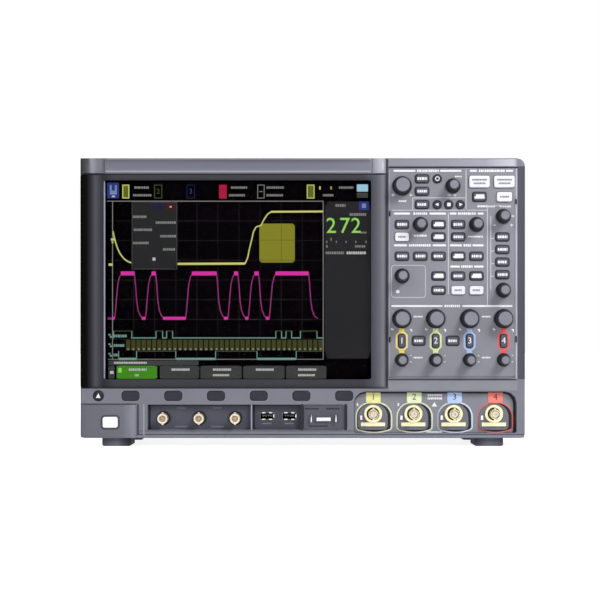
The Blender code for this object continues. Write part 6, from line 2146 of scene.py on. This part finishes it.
@dataclass
class LowerFront:
    """Left half of the lower front: power block, small sockets, memory-stick sockets and terminals."""

    low: float = 15.9
    high: float = 39.9
    socket_row: float = 26.9

    def build(self) -> None:
        """Builds every part of the lower front."""
        self.add_power_block()
        self.add_bays()
        self.add_small_sockets()
        self.add_stick_sockets()
        self.add_ledges()

    def add_power_block(self) -> None:
        """Adds the raised block round the power key, rounded towards both sides; its colour paints shade towards
        the left end and a highlight on the right slope.
        """
        box = (-212.2, -158.6, 8.3, 39.7)
        sections = [(box, FRONT + 0.2), (box, FRONT - 0.15), ((-204.5, -163.4, 9.4, 39.4), FRONT - 0.95)]
        block = smooth(grow("block", sections, 2.0, 3), 50.0)
        hole = prism("hole", round_box(*POWER_KEY, 16.6, 12.4), FRONT + 3, FRONT - 3, 3.2, 4)
        fit(pierce(block, [hole]), BLOCK_GREY, "power_block")

    def add_bays(self) -> None:
        """Adds the floors of the two bays and the terminal tile, darkened as painted shade, with dark strips of
        painted shadow along the bays' edges and in the seams between them, and pale strips of painted highlight.
        """
        # Bay floors and terminal tile: their dark greys are painted shade of the recesses.
        wide = tablet("floor", (-148.1, -49.5, self.low, self.high), POCKET, 0.12)
        mouths = [round_box(x, STICK_ROW, 13.4, 6.6) for x in STICK_SOCKETS]
        ports = [prism("port", box, POCKET + 3, POCKET - 3) for box in mouths]
        narrow = pierce(tablet("floor", (-48.1, -2.3, self.low, self.high), POCKET, 0.12), ports)
        floors = join("bay_floors_shaded", [paint(wide, BAY_DARK), paint(narrow, PORT_DARK)])
        settle(floors, "bay_floors_shaded", "housing")
        tile = tablet("tile", (0.9, 38.9, self.low, self.high), FRONT + 1.5, 0.5, rim=0.2)
        slots = [(x - 1.2, x + 1.2, 22.9, 30.9) for x in TERMINALS] + [(12.6, 27.2, 23.8, 28.4)]
        cutters = [prism("slot", box, FRONT + 4, FRONT - 2) for box in slots]
        fit(pierce(tile, cutters), TILE_GREY, "terminal_tile")
        # Dark strips: painted shadow along the bays' left and upper edges, and in the seams beside the tile.
        shadow = [
            (-148.1, -145.9, self.low, self.high), (-148.1, -49.5, 38.7, self.high),
            (-48.1, -45.8, self.low, self.high)
        ]
        shadow += [(-48.1, -2.3, 38.7, self.high)]
        dark = [tiles("shadow", shadow, POCKET - 0.12, 0.06, 0.0)]
        dark.append(tiles("seams", [(-2.3, 0.9, 15.6, 40.4), (39.4, 42.6, 15.6, 40.4)], FRONT, 0.2, 0.1))
        fit(join("bay_shadows", dark), SHADE_AND_PRINT_DARK, "bay_shadows")
        # Pale strips: painted highlight on the rib between the bays and on the step left of them.
        rib = tiles(
            "rib", [(-49.6, -48.2, self.low, self.high), (-152.6, -151.0, 10.6, 40.6)], FRONT, 0.25, 0.1
        )
        fit(rib, HIGHLIGHT_PALE, "bay_rib_highlight")

    def add_small_sockets(self) -> None:
        """Adds the two generator outputs and the trigger input, each on a dark washer."""
        for name, x in (("gen_out_1", -133.3), ("gen_out_2", -98.9), ("ext_trigger", -64.5)):
            z, seat = self.socket_row, POCKET - 0.3
            washer = lathe(
                "washer", x, z,
                [(6.6, seat), (6.6, seat - 1.2), (6.2, seat - 1.6), (5.0, seat - 1.6), (5.0, seat - 1.2)]
            )
            pieces = [paint(washer, BLACK_PLASTIC), bayonet(x, z, seat - 1.2, CREAM_BRASS, AGED_CORE, wall=1.9)]
            settle(join("small_socket", pieces), f"{name}_look", "housing", (name,))
        floor = POCKET - 0.12
        boxes = []
        for x, seed in ((-116.1, 1), (-81.7, 4)):
            boxes += legend(x, 18.6, 12.0, 1.5, seed) + legend(x, 36.6, 9.0, 1.5, seed + 2)
        for x, seed in zip(STICK_SOCKETS, (2, 5)):
            boxes += legend(x, 21.6, 9.0, 1.3, seed)
        fit(tiles("bay_print", boxes, floor, 0.05, 0.1), INK_GREY, "bay_print")
        marks = legend(9.0, 36.0, 13.0, 1.6, 2) + legend(29.0, 36.0, 13.0, 1.6, 5)
        marks += legend(15.0, 19.4, 18.0, 1.4, 3)
        fit(tiles("tile_print", marks, FRONT + 1.0, 0.05, 0.1), SHADE_AND_PRINT_DARK, "tile_print")

    def add_stick_sockets(self) -> None:
        """Adds the board with two memory-stick sockets, two wire terminals and the ground bar."""
        low, high, front = 18.8, 38.2, -52.0
        board = prism("board", (-48.2, 39.0, low, high), front + 1.6, front)
        pieces = [paint(board, BOARD)]
        for x in STICK_SOCKETS:
            pieces += self.stick_socket(x, STICK_ROW)
        for x in TERMINALS:
            pieces.append(paint(self.terminal(x, self.socket_row, front), CHROME))
        bar = round_box(19.9, 26.1, 13.7, 3.6)
        face = FRONT - 1.75
        bar_piece = grow("bar", stepped(bar, (0, front), (0, face + 0.35), (0.35, face)), 0.5, 2)
        pieces.append(paint(bar_piece, CHROME))
        settle(join("front_io", pieces), "front_io_look", "housing", ("front_io_board",))

    def stick_socket(self, x: float, z: float) -> list[Thing]:
        """Builds one memory-stick socket: shell, springs, black tongue and its contacts.

        Args:
            x: X of its middle.
            z: Z of its middle.

        Returns:
            Its pieces.
        """
        face, back = POCKET - 0.6, -52.4
        outer, inner = round_box(x, z, 13.8, 7.0), round_box(x, z, 13.0, 6.2)
        shell = grow("shell", [(outer, back), (outer, face), (inner, face), (inner, back + 0.2)], 0.8, 3)
        liner = shrunk(inner, 0.02)
        lining = grow(
            "lining", stepped(liner, (0, back + 0.1), (0, face + 0.9), (0.15, face + 0.8), (0.15, back))
        )
        tongue = round_box(x, z + 1.1, 11.2, 1.9)
        tongue_piece = grow("tongue", stepped(tongue, (0, back), (0, face + 1.4), (0.2, face + 1.2)))
        springs = []
        for dx in (-3.3, 3.3):
            for side in (-1, 1):
                spring = round_box(x + dx, z + side * 3.15, 3.2, 0.9)
                springs.append(prism("spring", spring, face + 1.2, face - 0.15, 0.2, 1))
        springs.append(prism("spring", round_box(x + 6.3, z, 0.9, 2.8), face + 1.2, face - 0.15))
        contacts = tiles(
            "contacts", [round_box(x + dx, z + 0.05, 1.0, 0.25) for dx in (-3.5, -1.2, 1.2, 3.5)],
            face + 3.0, 1.6, 0.0
        )
        return [
            paint(shell, SHELL_DIM), paint(lining, BLACK_PLASTIC), paint(tongue_piece, BLACK_PLASTIC),
            paint(join("springs", springs), CHROME), paint(contacts, GOLD),
        ]

    def terminal(self, x: float, z: float, back: float) -> Thing:
        """Builds one wire terminal: a loop that stands out of the tile, with an eye for a clip."""
        tip = FRONT - 3.5
        legs = [prism("leg", round_box(x, z + side * 2.85, 1.3), back, tip + 0.6) for side in (-1, 1)]
        link = round_box(x, z, 1.3, 7.0)
        bridge = grow("bridge", stepped(link, (0, tip + 1.3), (0, tip + 0.3), (0.3, tip)))
        return soften(join("terminal", [*legs, bridge]), 0.12)

    def add_ledges(self) -> None:
        """Adds the stepped ledge that runs under the bays, with dark lines of painted shade in its grooves and
        round the power block.
        """
        # Dark lines: painted shade in the grooves along the ledge and round the power block.
        dark = [
            (-158.5, -156.3, 10.2, 40.6), (-156.2, 48.6, 14.6, 15.2), (-158.5, 212.0, 11.0, 11.9),
            (-212.0, -158.6, 39.8, 41.1)
        ]
        fit(tiles("dark", dark, FRONT, 0.12, 0.1), LEDGE_DARK, "ledge_shade_lines")
        edge = (-158.0, 211.8, 8.25, 11.0)
        bar = grow(
            "edge", [(edge, FRONT + 0.5), (edge, FRONT - 0.1), ((-157.8, 211.6, 8.9, 10.8), FRONT - 0.5)]
        )
        fit(bar, LEDGE_PALE, "ledge_edge")


# ---------------------------------------------------------------- the back

@dataclass
class RearPanel:
    """What shows from behind: sockets of the main board, mains inlet, fan ring, screws and labels."""

    face: float = 70.0
    board_top: float = 21.1
    socket_face: float = 64.9
    fan: tuple[float, float] = (-107.5, 149.9)
    inlet: tuple[float, float] = (134.5, 90.4)
    sockets: tuple[tuple[float, float, float], ...] = (
        (-98.0, 62.0, 13.0), (-42.0, 16.2, 13.6), (-18.0, 14.4, 7.0), (3.0, 12.0, 11.0), (38.0, 31.0, 12.4)
    )
    rounds: tuple[float, ...] = (74.0, 100.0)

    def build(self) -> None:
        """Builds every part of the back."""
        self.add_sockets()
        self.add_rounds()
        self.add_frames()
        self.add_screws()
        self.add_label()

    def slab(
        self, name: str, box: Rect, start: float, end: float, finish: Finish, corner: float = 0.0,
        rim: float = 0.0
    ) -> Thing:
        """Builds a block whose face looks to the back.

        Args:
            name: Name of the piece.
            box: Its rectangle.
            start: Y of its root.
            end: Y of its face.
            finish: Its finish.
            corner: Corner radius.
            rim: Width of the slope round the face.

        Returns:
            The painted block.
        """
        slope = ((rim, end),) if rim else ()
        return paint(grow(name, stepped(box, (0, start), (0, end - rim), *slope), corner), finish)

    def add_sockets(self) -> None:
        """Adds a shell, a dark plate of painted shade in its mouth, a tongue and contacts to each socket on the
        main board.
        """
        pieces: list[Thing] = []
        for number, (x, across, up) in enumerate(self.sockets):
            box = round_box(x, self.board_top + up / 2, across + 0.5, up + 0.3)
            wide = across > 20
            mouth = shrunk(box, 1.5 if wide else 1.1)
            pieces.append(
                self.slab(
                    "shell", box, 50.0, self.socket_face, BLACK_PLASTIC if number == 0 else CHROME, 0.7,
                    0.25
                )
            )
            # Dark plate in each mouth: painted shade of the opening.
            pieces.append(
                self.slab("mouth", mouth, self.socket_face - 0.3, self.socket_face + 0.05, SHADE_AND_PRINT_DARK, 0.5)
            )
            x0, x1, z0, z1 = mouth
            middle = (z0 + z1) / 2
            bar = (x0 + 1.0, x1 - 1.0, z1 - 2.2, z1 - 0.8)
            if up < 12 or wide:
                bar = (x0 + 1.6, x1 - 1.6, middle - 0.9, middle + 0.9)
            pieces.append(self.slab("tongue", bar, self.socket_face, self.socket_face + 0.12, FAN_BLACK))
            count = int((bar[1] - bar[0]) / 1.9)
            rows = (bar[2] - 0.9, bar[3] + 0.9) if wide else ((bar[2] + bar[3]) / 2,)
            spots = [
                round_box(bar[0] + (i + 0.5) * (bar[1] - bar[0]) / count, z, 0.7, 0.8) for i in range(count)
                for z in rows
            ]
            pieces.append(paint(tiles("contacts", spots, self.socket_face + 0.2, 0.2, 0.0), GOLD))
        settle(join("rear_sockets", pieces), "rear_sockets", "housing")

    def add_rounds(self) -> None:
        """Adds the two coaxial sockets of the back, each on a black block."""
        pieces: list[Thing] = []
        z, tip = self.board_top + 9.0, 68.6
        for x in self.rounds:
            pieces.append(
                self.slab(
                    "block", round_box(x, self.board_top + 7.5, 14.4, 15.3), 48.0, self.socket_face,
                    BLACK_PLASTIC, 0.8, 0.3
                )
            )
            pieces.append(
                paint(lathe("nut", x, z, [(6.4, 64.5), (6.4, 65.8), (6.0, 66.1), (5.0, 66.1)], 6), NICKEL)
            )
            wall = [(5.2, 64.0), (5.2, tip - 0.2), (5.0, tip + 0.1), (4.2, tip + 0.1), (4.1, tip)]
            pieces.append(paint(lathe("sleeve", x, z, wall), NICKEL))
            # Dark ring: painted shade in the gap between sleeve and core.
            pieces.append(paint(lathe("gap", x, z, [(4.1, tip), (4.1, tip + 0.02)], 28), SHADE_AND_PRINT_DARK))
            pieces.append(paint(lathe("core", x, z, [(3.2, tip), (3.2, tip + 0.08)], 28), INSULATOR))
            pieces.append(paint(lathe("pin", x, z, [(0.8, tip), (0.8, tip + 0.14)], 12), GOLD))
        settle(join("rear_rounds", pieces), "rear_rounds", "housing")

    def add_frames(self) -> None:
        """Adds the lip of the socket bay, the black frame of the mains inlet and the ring round the fan slots."""
        lip = self.slab(
            "lip", (-139.6, 115.5, 17.4, 44.8), self.face - 0.2, self.face + 0.9, COVER_GREY, 2.0, 0.4
        )
        opening = prism("opening", (-136.9, 112.8, 20.2, 42.0), self.face - 2, self.face + 3)
        x, z = self.fan
        steps = [
            (44.0, self.face - 0.2), (44.0, self.face + 0.5), (43.5, self.face + 0.9),
            (42.0, self.face + 0.9), (41.6, self.face + 0.5)
        ]
        ring = lathe("ring", x, z, steps, 72)
        bore = prism("bore", round_box(x, z, 82.8), self.face - 2, self.face + 3, sides=72)
        pieces = [pierce(lip, [opening]), paint(pierce(ring, [bore]), COVER_GREY)]
        settle(join("rear_frames", pieces), "rear_frames", "housing")
        frame_piece = self.slab(
            "inlet", round_box(*self.inlet, 31.0, 23.4), self.face - 0.2, 71.5, BLACK_PLASTIC, 2.0, 0.4
        )
        cutter = prism("hole", round_box(*self.inlet, 24.3, 16.7), self.face - 3, self.face + 4, 2.0)
        settle(pierce(frame_piece, [cutter]), "inlet_frame", "housing")

    def add_screws(self) -> None:
        """Adds the cover screws and the four fan screws, each with a cross slot of painted shade."""
        x, z = self.fan
        spots = [(sx * 184.0, up) for sx in (-1, 1) for up in (54.0, 160.0)] + [(-70.0, 249.0), (70.0, 249.0)]
        spots += [(x + sx * 35.75, z + sz * 35.75) for sx in (-1, 1) for sz in (-1, 1)]
        heads = [
            lathe(
                "head", a, b,
                [
                    (3.3, self.face - 0.2), (3.3, self.face + 0.5), (2.6, self.face + 1.1),
                    (1.2, self.face + 1.3)
                ], 24
            ) for a, b in spots
        ]
        slots = [box for a, b in spots for box in (round_box(a, b, 3.4, 0.7), round_box(a, b, 0.7, 3.4))]
        # Cross slots: dark tiles of painted shade on the heads.
        crosses = tiles("slots", slots, self.face + 1.34, 0.3, 0.0)
        settle(
            join("rear_screws", [paint(join("heads", heads), NICKEL), paint(crosses, SHADE_AND_PRINT_DARK)]),
            "rear_screws", "housing"
        )

    def add_label(self) -> None:
        """Adds the bare rating plate and the print over the sockets, in blocks that stand for print."""
        plate = self.slab(
            "plate", (20.0, 100.0, 140.0, 190.0), self.face - 0.1, self.face + 0.15, LABEL_SILVER, 2.0
        )
        settle(plate, "rating_plate", "housing")
        boxes = [b for i in range(6) for b in legend(56.0, 183.0 - i * 6.4, 62.0 - 9.0 * (i % 3), 2.0, i)]
        boxes += [(24.0, 96.0, 148.4, 148.8), (26.0, 34.0, 142.4, 146.6), (38.0, 46.0, 142.4, 146.6)]
        dark = paint(tiles("rating", boxes, self.face + 0.2, 0.06, 0.0), INK_DARK)
        white = [b for i, (x, _, _) in enumerate(self.sockets) for b in legend(x, 47.6, 11.0, 1.6, i)]
        white += [b for i, x in enumerate(self.rounds) for b in legend(x, 47.6, 10.0, 1.6, i + 3)]
        white += legend(self.inlet[0], 75.4, 16.0, 1.8, 2)
        marks = paint(tiles("marks", white, self.face + 0.05, 0.06, 0.0), INK_PALE)
        settle(join("rear_print", [dark, marks]), "rear_print", "housing")


# ---------------------------------------------------------------- everything together


def main() -> None:
    """Builds the stage and every sub-assembly in order."""
    logging.basicConfig(level=logging.INFO, format="%(name)s: %(message)s", stream=sys.stdout)
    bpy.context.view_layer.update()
    Studio().build()
    CarriedOver().dress()
    for assembly in (
        ScreenSurround(), Display(), PanelPrint(), KeySet(), KnobSet(), InputBay(), LowerFront(),
        RearPanel()
    ):
        assembly.build()
        LOG.info("%s built", type(assembly).__name__)


if __name__ == "__main__":
    main()
